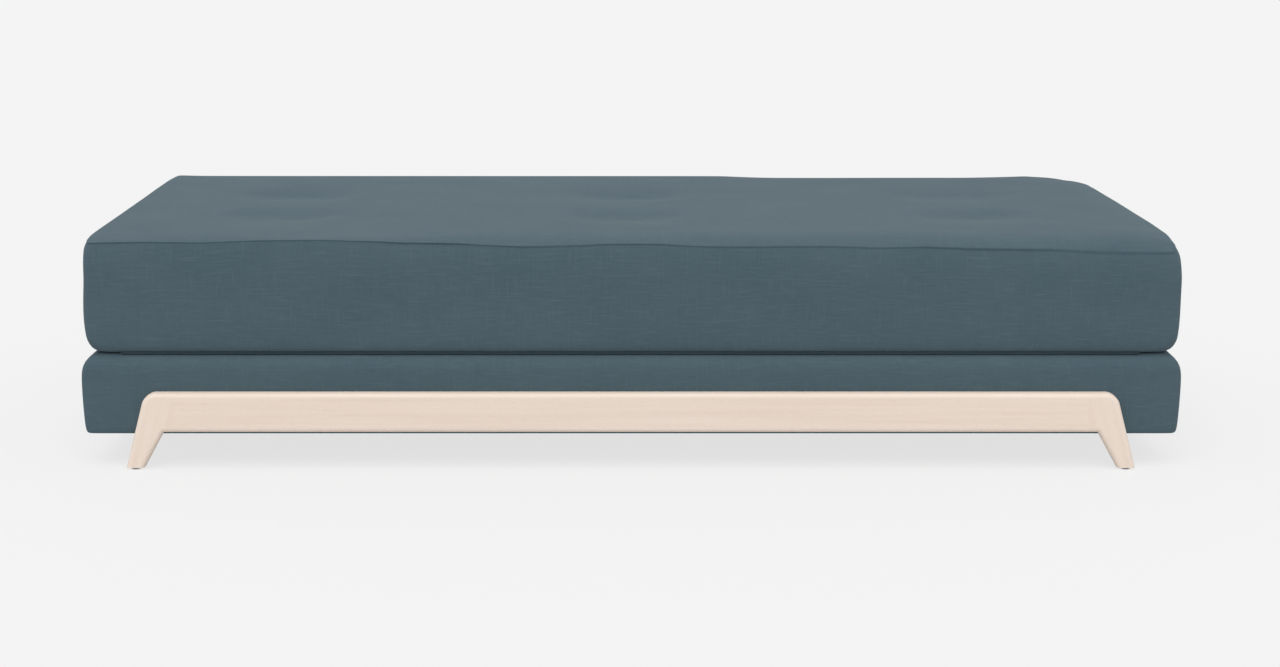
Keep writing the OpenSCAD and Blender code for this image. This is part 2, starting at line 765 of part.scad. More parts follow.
module mattress_foam_core() {
    heights = concat(
        [core_z0 - mattress_z0],
        [for (w = inner_wall) if (w[0] > core_z0 - mattress_z0 && w[0] < wadding_line) w[0]],
        [wadding_line]
    );
    color(foam_cream) difference() {
        skin([for (h = heights) mattress_level(lookup(h, inner_wall) + soft_gap, h)]);
        tuft_bores(core_z0 - overrun, mattress_t);
    }
}

module top_wadding() {
    color(wadding_white) difference() {
        quilted(top_grid(cover_t), mattress_level(lookup(wadding_line, inner_wall), wadding_line),
            mattress_nx, mattress_ny, true);
        tuft_bores(core_z1 - overrun, mattress_t);
    }
}

module bottom_wadding() {
    color(wadding_white) difference() {
        translate([0, 0, mattress_z0 + cover_t]) linear_extrude(wadding_t)
            polygon([for (p = mattress_level(mattress_edge_r, 0)) [p.x, p.y]]);
        for (p = tuft_points) translate([p.x, p.y, core_z0 - washer_felt_t])
            cylinder(r = washer_felt_r + hole_clear, h = washer_felt_t + overrun, $fn = round_fn);
    }
}

module mattress_top_panel() {
    color(fabric) quilted(top_grid(0), top_grid(cover_t), mattress_nx, mattress_ny);
}

module mattress_border() {
    inner_down = [for (i = [len(inner_wall) - 1 : -1 : 0]) inner_wall[i]];
    color(fabric) skin([for (w = concat(outer_wall, inner_down)) mattress_level(w[1], w[0])], true);
}

module mattress_bottom_panel() {
    color(fabric) translate([0, 0, mattress_z0]) linear_extrude(cover_t)
        polygon([for (p = mattress_level(mattress_edge_r, 0)) [p.x, p.y]]);
}

module tuft_ties() {
    color(wadding_white) for (p = tuft_points) translate([p.x, p.y, core_z0])
        cylinder(r = tie_r, h = p.z - core_z0, $fn = round_fn);
}

module tuft_washers() {
    color(felt_grey) for (p = tuft_points) translate([p.x, p.y, core_z0 - washer_felt_t])
        cylinder(r = washer_felt_r, h = washer_felt_t, $fn = round_fn);
}

module zip_tape() {
    color(dark_plastic) translate([-zip_l / 2, mattress_half.y, zip_z - zip_tape_h / 2])
        cube([zip_l, zip_tape_t, zip_tape_h]);
}

module zip_coil() {
    coil_l = zip_l - 2 * stop_l;
    crest_share = 0.5;
    color(dark_plastic) bar_along_x(coil_l) polygon([
        [zip_y, zip_z - zip_coil_w / 2],
        [zip_y + crest_share * zip_coil_h, zip_z - zip_coil_w / 2],
        [zip_y + zip_coil_h, zip_z - crest_share * zip_coil_w / 2],
        [zip_y + zip_coil_h, zip_z + crest_share * zip_coil_w / 2],
        [zip_y + crest_share * zip_coil_h, zip_z + zip_coil_w / 2],
        [zip_y, zip_z + zip_coil_w / 2]
    ]);
}

module zip_stops() {
    color(steel) both_sides_x() translate([zip_l / 2 - stop_l, zip_y, zip_z - zip_coil_w / 2])
        cube([stop_l, zip_coil_h, zip_coil_w]);
}

module zip_slider() {
    ear_l = 2 * pull_eye_r;
    ear_y0 = slider_y1 - slider_plate_t / 2;
    color(steel) translate([slider_x, 0, zip_z]) {
        translate([-slider_l / 2, slider_plate_y, -slider_w / 2])
            cube([slider_l, slider_plate_t, slider_w]);
        for (side = [-1, 1]) {
            translate([-slider_l / 2, slider_y0, side > 0 ? slider_w / 2 - slider_lip : -slider_w / 2])
                cube([slider_l, slider_y1 - slider_y0, slider_lip]);
            translate([-ear_l / 2, ear_y0, side > 0 ? ear_gap / 2 : -ear_gap / 2 - ear_t])
                cube([ear_l, pull_pin_y + pull_eye_r - ear_y0, ear_t]);
        }
        translate([0, pull_pin_y, -ear_gap / 2 - ear_t])
            cylinder(r = pull_pin_r, h = ear_gap + 2 * ear_t, $fn = round_fn);
    }
}

module zip_pull() {
    color(steel) translate([slider_x, pull_pin_y, zip_z]) difference() {
        union() {
            cylinder(r = pull_eye_r, h = pull_eye_w, center = true, $fn = round_fn);
            translate([0, -pull_t / 2, -pull_eye_w / 2])
                cube([pull_neck_l + overrun / 2, pull_t, pull_eye_w]);
            translate([pull_neck_l, -pull_t / 2, -pull_w / 2])
                cube([pull_l - pull_neck_l - pull_w / 2, pull_t, pull_w]);
            translate([pull_l - pull_w / 2, 0, 0]) rotate([90, 0, 0])
                cylinder(r = pull_w / 2, h = pull_t, center = true, $fn = round_fn);
        }
        cylinder(r = pull_pin_r + pin_clear, h = pull_eye_w + overrun, center = true, $fn = round_fn);
    }
}

front_rail();
back_rail();
front_left_leg();
front_right_leg();
back_left_leg();
back_right_leg();
leg_dowels();
foot_glides();
threaded_inserts();
frame_bolts();
bolt_washers();
base_front_board();
base_back_board();
base_left_board();
base_right_board();
corner_blocks();
box_screws();
centre_beam();
beam_cleats();
front_slat_ledge();
back_slat_ledge();
bed_slats();
slat_ribbons();
deck_felt();
base_foam();
base_cover();
dust_cover();
dust_cover_staples();
hinge_strip_base();
hinge_strip_mattress();
mattress_foam_core();
top_wadding();
bottom_wadding();
mattress_top_panel();
mattress_border();
mattress_bottom_panel();
tuft_ties();
tuft_washers();
zip_tape();
zip_coil();
zip_stops();
zip_slider();
zip_pull();
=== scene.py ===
# %% [markdown]
# # A sofa bed in slate cloth on two pale wooden bridges
# The real object is a backless sofa. A thick mattress lies on an upholstered base of the same
# length, and folds forward over a cloth hinge to make the base twice as deep. The base hangs
# between two wooden bridges, each a long rail with a splayed leg at both ends.
#
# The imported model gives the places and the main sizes. This script loads it as a frame, gives the
# rigid parts their real finishes, and builds the soft and rounded parts again as the materials
# they are.

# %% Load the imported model
import json
import math

import bmesh
import bpy
import numpy as np
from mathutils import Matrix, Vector, noise


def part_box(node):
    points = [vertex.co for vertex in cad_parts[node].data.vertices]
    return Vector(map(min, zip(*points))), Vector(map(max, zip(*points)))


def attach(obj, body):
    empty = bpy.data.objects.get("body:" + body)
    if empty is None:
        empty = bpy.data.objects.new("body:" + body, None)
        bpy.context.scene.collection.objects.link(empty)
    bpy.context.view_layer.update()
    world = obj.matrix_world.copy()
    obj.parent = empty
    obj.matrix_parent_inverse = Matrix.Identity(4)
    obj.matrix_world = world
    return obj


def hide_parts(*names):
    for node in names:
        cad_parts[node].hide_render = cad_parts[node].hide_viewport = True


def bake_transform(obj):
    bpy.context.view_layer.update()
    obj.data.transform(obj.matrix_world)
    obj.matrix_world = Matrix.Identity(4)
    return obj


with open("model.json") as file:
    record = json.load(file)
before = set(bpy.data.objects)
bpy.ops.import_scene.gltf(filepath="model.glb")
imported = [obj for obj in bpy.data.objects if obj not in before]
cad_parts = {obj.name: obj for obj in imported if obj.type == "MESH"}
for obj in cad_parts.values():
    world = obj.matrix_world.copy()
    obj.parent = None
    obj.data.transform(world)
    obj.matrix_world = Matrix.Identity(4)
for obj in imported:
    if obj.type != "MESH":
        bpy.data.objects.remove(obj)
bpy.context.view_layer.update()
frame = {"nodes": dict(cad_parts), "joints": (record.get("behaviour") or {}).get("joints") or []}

# %% [markdown]
# ## Sizes
# Drawings of furniture are in millimetres and Blender works in metres, so one helper turns one
# into the other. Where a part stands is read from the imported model.

# %% Millimetres, boxes and objects
# A distance in metres too small to matter when two places are compared
hair = 1e-6


def mm(length):
    """A length in millimetres, in Blender's metres."""
    return length / 1000


def in_mm(metres):
    """Lengths in metres, as millimetres to print."""
    return np.round(np.array(metres) * 1000, 1)


def corners(node):
    """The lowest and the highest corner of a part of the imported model."""
    low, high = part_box(node)
    return np.array(low), np.array(high)


def new_object(name, data):
    """An object that shows the given data in the scene."""
    made = bpy.data.objects.new(name, data)
    bpy.context.scene.collection.objects.link(made)
    return made


border_low, border_high = corners("mattress_border")
base_low, base_high = corners("base_cover")
print("Mattress border from", in_mm(border_low), "to", in_mm(border_high), "mm")
print("Base cover from", in_mm(base_low), "to", in_mm(base_high), "mm")

# %% [markdown]
# ## Camera
# The photograph was taken from straight in front, a little above the seat. A pinhole camera was
# fitted to the outline of the mattress, the rail and the feet: it stands 4.5 m away at 1.1 m
# height, looks down by 12 degrees, and has a lens of 64 mm on a sensor 36 mm wide.

# %% Camera
looks_down = math.radians(11.96)
camera = new_object("Camera", bpy.data.cameras.new("Camera"))
bpy.context.scene.camera = camera
camera.data.sensor_width = 36
camera.data.lens = 63.7
camera.location = (0.017, -4.48, 1.107)
camera.rotation_euler = (math.radians(90) - looks_down, 0, 0)
print("Camera at", tuple(camera.location), "with a lens of", camera.data.lens, "mm")

# %% [markdown]
# ## Nodes and colours
# Every finish below is a small tree of shader nodes. One function adds a node, with its settings
# and with its inputs. An input is a value, a socket of another node, or a node, which then gives
# its first output. Colours are written as the sRGB values that a paint chart gives, and one
# function turns them into the linear light that Blender mixes.

# %% Helpers for materials
# Where a Mix node takes and gives colours
mix_from, mix_to, mix_result = 6, 7, 2


def linear(colour):
    """A colour written like #5F6F78, as linear red, green, blue and alpha."""
    channels = [int(colour[i:i + 2], 16) / 255 for i in (1, 3, 5)]
    return [c / 12.92 if c <= 0.04045 else ((c + 0.055) / 1.055) ** 2.4 for c in channels] + [1]


def feed(tree, node, inputs):
    """Gives a node its inputs: values, sockets, or nodes that give their first output."""
    for socket, value in inputs.items():
        if isinstance(value, bpy.types.Node):
            value = value.outputs[0]
        if isinstance(value, bpy.types.NodeSocket):
            tree.links.new(value, node.inputs[socket])
        else:
            node.inputs[socket].default_value = value


def add(tree, kind, inputs=None, **settings):
    """Adds a node to a tree, with its settings and its inputs."""
    node = tree.nodes.new("ShaderNode" + kind)
    for name, value in settings.items():
        setattr(node, name, value)
    feed(tree, node, inputs or {})
    return node


def new_material(name):
    """An empty material, its tree, and the Principled shader that ends it."""
    material = bpy.data.materials.new(name)
    material.use_nodes = True
    tree = material.node_tree
    tree.nodes.clear()
    shader = add(tree, "BsdfPrincipled")
    add(tree, "OutputMaterial", {"Surface": shader})
    return material, tree, shader


def stretched_noise(tree, place, sizes, detail=2.0, roughness=0.5):
    """Noise whose specks have the given sizes in millimetres along x, y and z."""
    scaled = add(tree, "Mapping", {"Vector": place, "Scale": [1000 / size for size in sizes]})
    return add(tree, "TexNoise", {
        "Vector": scaled, "Scale": 1.0, "Detail": detail, "Roughness": roughness})


def specks(tree, place, sizes, low, high, detail=2.0):
    """Stretched noise that is 0 where it stands at low and 1 where it stands at high."""
    return add(tree, "MapRange", {"Value": stretched_noise(tree, place, sizes, detail),
                                  "From Min": low, "From Max": high})


print("linear(#808080) is", round(linear("#808080")[0], 3))

# %% [markdown]
# ## The slate cloth
# The cover is a plain-weave polyester with a linen look. Warp and weft cross one over, one under,
# and thick places in the yarn, called slubs, show as short streaks in both directions. Its fibres
# scatter light at grazing angles, which makes the top look paler and greyer than the front.
#
# The weave follows the panel that was cut, so it reads a UV map laid out in metres. The real
# threads are about 0.8 mm apart, which no render of the whole sofa can show, so they are drawn
# 2.4 mm apart.

# %% Plain-weave upholstery cloth
def plain_weave(name, warp, weft, pitch, fuzz, roughness, slub=1.0):
    """Plain-weave cloth from two yarn colours, with threads pitch millimetres apart."""
    material, tree, shader = new_material(name)
    cloth = add(tree, "UVMap", uv_map="Cloth")
    # The yarns aren't perfectly straight, so the pattern wanders by a fraction of a thread
    sway = add(tree, "TexNoise", {"Vector": cloth, "Scale": 45.0, "Detail": 1.0}).outputs["Color"]
    shifted = add(tree, "VectorMath", {0: sway, 1: (0.5, 0.5, 0.5)}, operation="SUBTRACT")
    small = add(tree, "VectorMath", {0: shifted, "Scale": mm(pitch)}, operation="SCALE")
    place = add(tree, "VectorMath", {0: cloth, 1: small}, operation="ADD")
    turns = add(tree, "VectorMath", {0: place, "Scale": math.pi / mm(pitch)}, operation="SCALE")
    across = add(tree, "SeparateXYZ", {0: turns}).outputs
    waves = [add(tree, "Math", {0: across[axis]}, operation="SINE") for axis in (0, 1)]
    crossing = add(tree, "Math", dict(enumerate(waves)), operation="MULTIPLY")
    over = add(tree, "Math", {0: crossing}, operation="ABSOLUTE")
    # Slubs are up to 60 mm long and one to two threads wide
    weft_slub = specks(tree, cloth, (60, 1.5 * pitch, 1), 0.54, 0.76)
    warp_slub = specks(tree, cloth, (1.4 * pitch, 55, 1), 0.56, 0.78)
    slubs = add(tree, "Math", {0: weft_slub, 1: warp_slub}, operation="MAXIMUM")
    thin = specks(tree, cloth, (24, 2.4 * pitch, 1), 0.60, 0.35, detail=3.0)
    nap = specks(tree, cloth, (190, 120, 1), 0.30, 0.70, detail=3.0)

    which = add(tree, "MapRange", {"Value": crossing, "From Min": -0.6, "From Max": 0.6})
    colour = add(tree, "Mix", {"Factor": which, mix_from: linear(weft), mix_to: linear(warp)},
                 data_type="RGBA").outputs[mix_result]
    for factor, share, tone in ((slubs, 0.12 * slub, "#7C8B95"), (thin, 0.12 * slub, "#36434B"),
                                (nap, 0.05, "#84929B")):
        amount = add(tree, "Math", {0: factor, 1: share}, operation="MULTIPLY")
        colour = add(tree, "Mix", {"Factor": amount, mix_from: colour, mix_to: linear(tone)},
                     data_type="RGBA").outputs[mix_result]
    height = add(tree, "Math", {0: slubs, 1: 0.6, 2: over}, operation="MULTIPLY_ADD")
    feed(tree, shader, {
        "Base Color": colour, "Roughness": roughness, "Specular IOR Level": 0.25,
        "Sheen Weight": fuzz, "Sheen Roughness": 0.45, "Sheen Tint": linear("#DDE3E8"),
        "Normal": add(tree, "Bump", {"Height": height, "Distance": mm(0.35), "Strength": 0.4})})
    return material


slate_cloth = plain_weave("Slate plain-weave polyester", "#4B5E67", "#43565F",
                          pitch=2.4, fuzz=0.09, roughness=0.9)
webbing = plain_weave("Dark woven polyester webbing", "#3A4D57", "#31424B",
                      pitch=3.2, fuzz=0.03, roughness=0.9, slub=0.3)
print("Woven:", slate_cloth.name, "and", webbing.name)

# %% [markdown]
# ## Whitewashed beech, pine and birch
# The bridges are beech with a white-pigmented matt lacquer, which hides most of the grain and
# leaves the wood a pale pinkish cream. The box inside the base is planed pine, with broad early
# and late wood, and the slats are birch. Grain runs along the piece, so the specks of the noise
# are drawn out that way. The rails and legs carry an attribute that holds their own lengthwise
# direction, because a splayed leg's grain leans with it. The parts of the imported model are
# straight, so a Mapping node turns theirs.

# %% Three woods
def wood(name, pale, dark, ring, contrast, roughness, turned=None, fleck=0.0):
    """Wood with growth bands ring millimetres wide. turned is None if the piece has a Grain."""
    material, tree, shader = new_material(name)
    if turned is None:
        place = add(tree, "Attribute", attribute_name="Grain").outputs["Vector"]
    else:
        spot = add(tree, "TexCoord").outputs["Object"]
        place = add(tree, "Mapping", {"Vector": spot, "Rotation": turned})
    bands = stretched_noise(tree, place, (420, ring, ring * 1.4), 3.0, 0.55)
    fibres = stretched_noise(tree, place, (45, 1.1, 1.1))
    pores = specks(tree, place, (7, 0.9, 0.9), 0.62, 0.74, detail=1.0)
    tone = add(tree, "Math", {0: fibres, 1: 0.35, 2: bands}, operation="MULTIPLY_ADD")
    grain = add(tree, "MapRange", {
        "Value": tone, "From Min": 0.68 - 0.5 * contrast, "From Max": 0.68 + 0.5 * contrast})
    colour = add(tree, "Mix", {"Factor": grain, mix_from: linear(pale), mix_to: linear(dark)},
                 data_type="RGBA").outputs[mix_result]
    flecks = add(tree, "Math", {0: pores, 1: fleck}, operation="MULTIPLY")
    colour = add(tree, "Mix", {"Factor": flecks, mix_from: colour, mix_to: linear("#9C7B62")},
                 data_type="RGBA").outputs[mix_result]
    feed(tree, shader, {
        "Base Color": colour, "Specular IOR Level": 0.3,
        "Roughness": add(tree, "MapRange", {
            "Value": fibres, "To Min": roughness - 0.06, "To Max": roughness + 0.08}),
        "Normal": add(tree, "Bump", {"Height": tone, "Distance": mm(0.12), "Strength": 0.25})})
    return material


along_x, along_y, along_z = (0, 0, 0), (0, 0, math.radians(-90)), (0, math.radians(90), 0)
beech = wood("Whitewashed beech, matt lacquer", "#EDDED1", "#E7D5C6",
             ring=9, contrast=0.5, roughness=0.68, fleck=0.14)
pine_along_x, pine_along_y, pine_along_z = [
    wood(f"Planed pine, {way}", "#DDC095", "#C79D66",
         ring=12, contrast=0.35, roughness=0.65, turned=turned, fleck=0.1)
    for way, turned in (("lengthwise", along_x), ("crosswise", along_y), ("upright", along_z))]
birch = wood("Planed birch", "#E2CCA6", "#D2B587",
             ring=16, contrast=0.45, roughness=0.55, turned=along_y, fleck=0.2)
dowel_beech = wood("Turned beech dowel", "#DDC3A0", "#CBA87E",
                   ring=5, contrast=0.5, roughness=0.6, turned=along_x, fleck=0.3)
print("Woods:", beech.name, "/", pine_along_x.name, "/", birch.name)

# %% [markdown]
# ## Foam, wadding, felt and dust cloth
# Polyurethane foam is a mass of open cells about a millimetre wide. Wadding is loose white fibre,
# and felt is fibre needled flat, with flecks of other colours in it. The cloth under the base is a
# black non-woven, pressed with a grid of small dots that hold its fibres together.

# %% Soft fillings
def open_cell_foam(name, colour, pit_shade_colour, cell):
    """Foam with cells of the given width in millimetres, and painted shade in their pits."""
    material, tree, shader = new_material(name)
    spot = add(tree, "TexCoord").outputs["Object"]
    cells = add(tree, "TexVoronoi", {"Vector": spot, "Scale": 1000 / cell}, feature="SMOOTH_F1")
    pits = add(tree, "MapRange", {"Value": cells, "From Min": 0.15, "From Max": 0.75})
    # Foam yellows unevenly, in patches as wide as a hand
    stain = stretched_noise(tree, spot, (160, 160, 160))
    worn = add(tree, "Mix", {"Factor": stain, mix_from: linear(colour),
                             mix_to: linear("#E5DBBB")}, data_type="RGBA").outputs[mix_result]
    # The pits of the cells get the darker colour: painted shade in their hollows
    shown = add(tree, "Mix", {"Factor": pits, mix_from: linear(pit_shade_colour), mix_to: worn},
                data_type="RGBA").outputs[mix_result]
    feed(tree, shader, {
        "Base Color": shown, "Roughness": 0.95, "Specular IOR Level": 0.2,
        "Normal": add(tree, "Bump", {"Height": pits, "Distance": mm(0.8), "Strength": 0.5})})
    return material


def fibre_mat(name, pale, dark, fibre, fuzz):
    """Loose or needled fibre, whose strands are fibre millimetres long."""
    material, tree, shader = new_material(name)
    spot = add(tree, "TexCoord").outputs["Object"]
    strands = [stretched_noise(tree, spot, sizes)
               for sizes in ((fibre, 0.7, 1.5), (0.7, fibre, 1.5), (1.6, 1.6, fibre))]
    most = add(tree, "Math", dict(enumerate(strands[:2])), operation="MAXIMUM")
    matted = add(tree, "Math", {0: most, 1: strands[2]}, operation="MAXIMUM")
    tone = add(tree, "MapRange", {"Value": matted, "From Min": 0.50, "From Max": 0.72})
    shown = add(tree, "Mix", {"Factor": tone, mix_from: linear(dark), mix_to: linear(pale)},
                data_type="RGBA").outputs[mix_result]
    feed(tree, shader, {
        "Base Color": shown, "Roughness": 1.0, "Specular IOR Level": 0.1, "Sheen Weight": fuzz,
        "Normal": add(tree, "Bump", {"Height": tone, "Distance": mm(0.7), "Strength": 0.6})})
    return material


def spunbond(name, colour, pressed, dot):
    """Non-woven cloth with pressed dots, dot millimetres apart."""
    material, tree, shader = new_material(name)
    spot = add(tree, "TexCoord").outputs["Object"]
    grid = add(tree, "TexVoronoi", {"Vector": spot, "Scale": 1000 / dot, "Randomness": 0.0},
               feature="F1")
    dots = add(tree, "MapRange", {"Value": grid, "From Min": 0.22, "From Max": 0.34})
    fibres = stretched_noise(tree, spot, (12, 1.2, 3), 3.0)
    tone = add(tree, "Math", {0: dots, 1: fibres}, operation="MULTIPLY")
    shown = add(tree, "Mix", {"Factor": tone, mix_from: linear(pressed), mix_to: linear(colour)},
                data_type="RGBA").outputs[mix_result]
    feed(tree, shader, {
        "Base Color": shown, "Roughness": 0.85,
        "Normal": add(tree, "Bump", {"Height": tone, "Distance": mm(0.3), "Strength": 0.5})})
    return material


# The second colour is painted shade, for the pits of the cells
foam = open_cell_foam("Open-cell polyurethane foam", "#EFE8D0", "#C9BE98", cell=1.4)
wadding = fibre_mat("Bonded polyester wadding", "#F2F2F0", "#D4D4D0", fibre=18, fuzz=0.3)
felt = fibre_mat("Needled grey felt", "#9A9A9A", "#686868", fibre=6, fuzz=0.15)
ribbon_cotton = fibre_mat("Woven cotton ribbon", "#D9D3C4", "#B9B19E", fibre=9, fuzz=0.1)
dust_cloth = spunbond("Black spunbond polypropylene", "#303033", "#1E1E20", dot=2.2)
print("Soft fillings:", foam.name, "/", wadding.name, "/", felt.name, "/", dust_cloth.name)

# %% [markdown]
# ## Metals and plastics
# Bolts, washers, screws and staples are zinc-plated steel: bright, with a faint cloudy bloom. The
# threaded inserts are turned brass, with fine rings round their axis. The slider and its pull are
# cast zinc with a gunmetal finish. Glides are moulded nylon, and the zip is a polyester tape with
# a nylon coil.

# %% Fasteners, glides and zip
def plated_metal(name, colour, bloom, roughness, cloud, scratches=(6, 0.4, 0.4)):
    """Metal with a cloudy surface, cloud millimetres across, and scratches of three sizes."""
    material, tree, shader = new_material(name)
    spot = add(tree, "TexCoord").outputs["Object"]
    mist = specks(tree, spot, (cloud, cloud, cloud), 0.35, 0.65, detail=3.0)
    shown = add(tree, "Mix", {"Factor": mist, mix_from: linear(colour), mix_to: linear(bloom)},
                data_type="RGBA").outputs[mix_result]
    scratch = stretched_noise(tree, spot, scratches)
    feed(tree, shader, {
        "Base Color": shown, "Metallic": 1.0,
        "Roughness": add(tree, "MapRange", {
            "Value": mist, "To Min": roughness, "To Max": roughness + 0.14}),
        "Normal": add(tree, "Bump", {"Height": scratch, "Distance": mm(0.02), "Strength": 0.3})})
    return material


def moulded_plastic(name, colour, worn, grain, roughness):
    """Moulded plastic with a fine spark-eroded grain, grain millimetres across."""
    material, tree, shader = new_material(name)
    spot = add(tree, "TexCoord").outputs["Object"]
    cloud = stretched_noise(tree, spot, (25, 25, 25))
    pebble = stretched_noise(tree, spot, (grain, grain, grain))
    shown = add(tree, "Mix", {"Factor": cloud, mix_from: linear(colour), mix_to: linear(worn)},
                data_type="RGBA").outputs[mix_result]
    feed(tree, shader, {
        "Base Color": shown,
        "Roughness": add(tree, "MapRange", {
            "Value": cloud, "To Min": roughness - 0.06, "To Max": roughness + 0.06}),
        "Normal": add(tree, "Bump", {"Height": pebble, "Distance": mm(0.04), "Strength": 0.4})})
    return material


def ribbed_tape(name, pale, dark, rib, up_share):
    """A tape or coil whose ribs are rib millimetres apart along x, and lean by up_share."""
    material, tree, shader = new_material(name)
    spot = add(tree, "SeparateXYZ", {0: add(tree, "TexCoord").outputs["Object"]}).outputs
    lean = add(tree, "Math", {0: spot["Z"], 1: up_share, 2: spot["X"]}, operation="MULTIPLY_ADD")
    turns = add(tree, "Math", {0: lean, 1: 2 * math.pi / mm(rib)}, operation="MULTIPLY")
    wave = add(tree, "Math", {0: turns}, operation="SINE")
    tone = add(tree, "MapRange", {"Value": wave, "From Min": -1, "From Max": 1})
    # The troughs between the ribs get the dark colour: painted shade that follows the ribs' bump
    shown = add(tree, "Mix", {"Factor": tone, mix_from: linear(dark), mix_to: linear(pale)},
                data_type="RGBA").outputs[mix_result]
    feed(tree, shader, {
        "Base Color": shown, "Roughness": 0.55,
        "Normal": add(tree, "Bump", {"Height": tone, "Distance": mm(0.4), "Strength": 0.8})})
    return material


lathe_rings = (30, 0.25, 30)
zinc = plated_metal("Zinc-plated steel", "#C3C5C8", "#AEB1B6", roughness=0.28, cloud=5)
turned_brass = plated_metal("Turned brass", "#D0B068", "#BE9A50", roughness=0.25, cloud=4,
                            scratches=lathe_rings)
gunmetal = plated_metal("Cast zinc, gunmetal finish", "#8E9296", "#75797E",
                        roughness=0.30, cloud=3)
nylon = moulded_plastic("Moulded nylon", "#4A4A4A", "#5A5A59", grain=0.5, roughness=0.45)
# The darker colour of each pair is painted shade between the ribs of the tape and the coil's turns
zip_twill = ribbed_tape("Polyester zip tape, twill", "#3F4C55", "#2E3940",
                        rib=1.6, up_share=1.0)
zip_nylon = ribbed_tape("Nylon zip coil", "#3A454D", "#20282D", rib=1.5, up_share=0.0)
print("Metals:", zinc.name, "/", turned_brass.name, "/", gunmetal.name)
print("Plastics:", nylon.name, "/", zip_twill.name, "/", zip_nylon.name)

# %% [markdown]
# ## Rigid parts that keep their shape
# Boards, slats, screws, bolts and the zip's hard parts already have their true form in the packed
# model, so they only get a finish. Boards that run from front to back have their grain that way
# too, and so do the slats.

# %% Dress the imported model's rigid parts
finishes = {
    pine_along_x: ("base_front_board", "base_back_board", "centre_beam", "front_slat_ledge",
                   "back_slat_ledge"),
    pine_along_y: ("base_left_board", "base_right_board"),
    pine_along_z: ("corner_blocks", "beam_cleats"),
    birch: ("bed_slats",),
    dowel_beech: ("leg_dowels",),
    zinc: ("frame_bolts", "bolt_washers", "box_screws", "dust_cover_staples"),
    turned_brass: ("threaded_inserts",),
    gunmetal: ("zip_stops", "zip_slider", "zip_pull"),
    nylon: ("foot_glides",),
}
for material, nodes in finishes.items():
    for node in nodes:
        for spot in frame["nodes"][node].material_slots:
            spot.material = material
print("Dressed", sum(len(nodes) for nodes in finishes.values()), "parts of the packed model")

# %% [markdown]
# ## From a bmesh to a piece
# A bmesh is a mesh that is still being shaped. When it is done it becomes an object that sits at
# the origin with its place in its mesh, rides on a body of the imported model, and stands for the
# solids it replaces.

# %% Turn a bmesh into a piece
def make_piece(bm, name, material, body, replaced, smooth_below=40):
    """A finished piece from a bmesh. Edges sharper than smooth_below degrees stay sharp."""
    mesh = bpy.data.meshes.new(name)
    bm.normal_update()
    bm.to_mesh(mesh)
    bm.free()
    mesh.materials.append(material)
    mesh.shade_smooth()
    if smooth_below < 180:
        mesh.set_sharp_from_angle(angle=math.radians(smooth_below))
    piece = new_object(name, mesh)
    if body is not None:
        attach(piece, body)
    if replaced:
        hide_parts(*replaced)
    return piece


def finer(piece):
    """Adds a live Subdivision Surface, the same on screen and in the render."""
    smooth = piece.modifiers.new("Finer", "SUBSURF")
    smooth.levels = smooth.render_levels = 1
    smooth.uv_smooth = "PRESERVE_BOUNDARIES"


# %% [markdown]
# ## A block with cuts where they are wanted
# Cushions, pads and sheets all start as the same thing: a box of even quads. A cube is cut along
# each axis, and its cuts are then moved to chosen places, close together where a seam or a
# rounding needs them. Before the box is shaped, each face gets its place on the flat panel of
# cloth that it will be sewn from.

# %% Blocks, cuts and flat panels
def block(lines):
    """A closed block of quads, whose cuts lie on the given lines in x, y and z."""
    bm = bmesh.new()
    bmesh.ops.create_cube(bm, size=1)
    bmesh.ops.translate(bm, verts=bm.verts, vec=(0.5, 0.5, 0.5))
    for axis, places in enumerate(lines):
        if len(places) > 2:
            along = [e for e in bm.edges
                     if abs(e.verts[0].co[axis] - e.verts[1].co[axis]) > 0.5]
            bmesh.ops.subdivide_edges(bm, edges=along, cuts=len(places) - 2, use_grid_fill=True)
    for vert in bm.verts:
        vert.co = [places[round(vert.co[axis] * (len(places) - 1))]
                   for axis, places in enumerate(lines)]
    return bm


def cuts(low, high, pitch, near_ends=()):
    """Lines from low to high, about pitch apart, and at the given distances from both ends."""
    inner = [low + d for d in near_ends], [high - d for d in reversed(near_ends)]
    start, stop = (inner[0][-1], inner[1][0]) if near_ends else (low, high)
    steps = max(1, round((stop - start) / pitch))
    middle = list(np.linspace(start, stop, steps + 1))
    return sorted({low, high, *inner[0][:-1], *middle, *inner[1][1:]})


def plan_cuts(half, pitch, near_ends):
    """The lines in x and in y of a rectangle with the given half sizes."""
    return [cuts(-h, h, pitch, near_ends) for h in half]


def points_of(bm):
    """The x, the y and the z of a bmesh's points, as three rows."""
    return np.array([vert.co for vert in bm.verts]).T


def reshape(bm, columns):
    """Moves the points of a bmesh to new columns of x, y and z."""
    for vert, place in zip(bm.verts, np.transpose(columns)):
        vert.co = place


def lay_cloth(bm):
    """Gives each face its place on the flat panel, in metres, as the UV map Cloth."""
    bm.normal_update()
    layer = bm.loops.layers.uv.new("Cloth")
    for face in bm.faces:
        axis = max(range(3), key=lambda a: abs(face.normal[a]))
        across, up = [a for a in range(3) if a != axis]
        for loop in face.loops:
            loop[layer].uv = (loop.vert.co[across], loop.vert.co[up])


def round_corners(x, y, half, radius, inset_ends, inset_front):
    """Moves points of a rectangle onto one with rounded corners, and draws its sides in."""
    past_x, past_y = (np.maximum(0, abs(v) - (h - radius)) for v, h in zip((x, y), half))
    reach = np.hypot(past_x, past_y)
    share = np.where(reach > 0, np.maximum(past_x, past_y) / np.where(reach > 0, reach, 1), 1)
    return [np.sign(v) * (abs(v) - past + share * past) * (h - inset) / h
            for v, past, h, inset in zip((x, y), (past_x, past_y), half, (inset_ends, inset_front))]


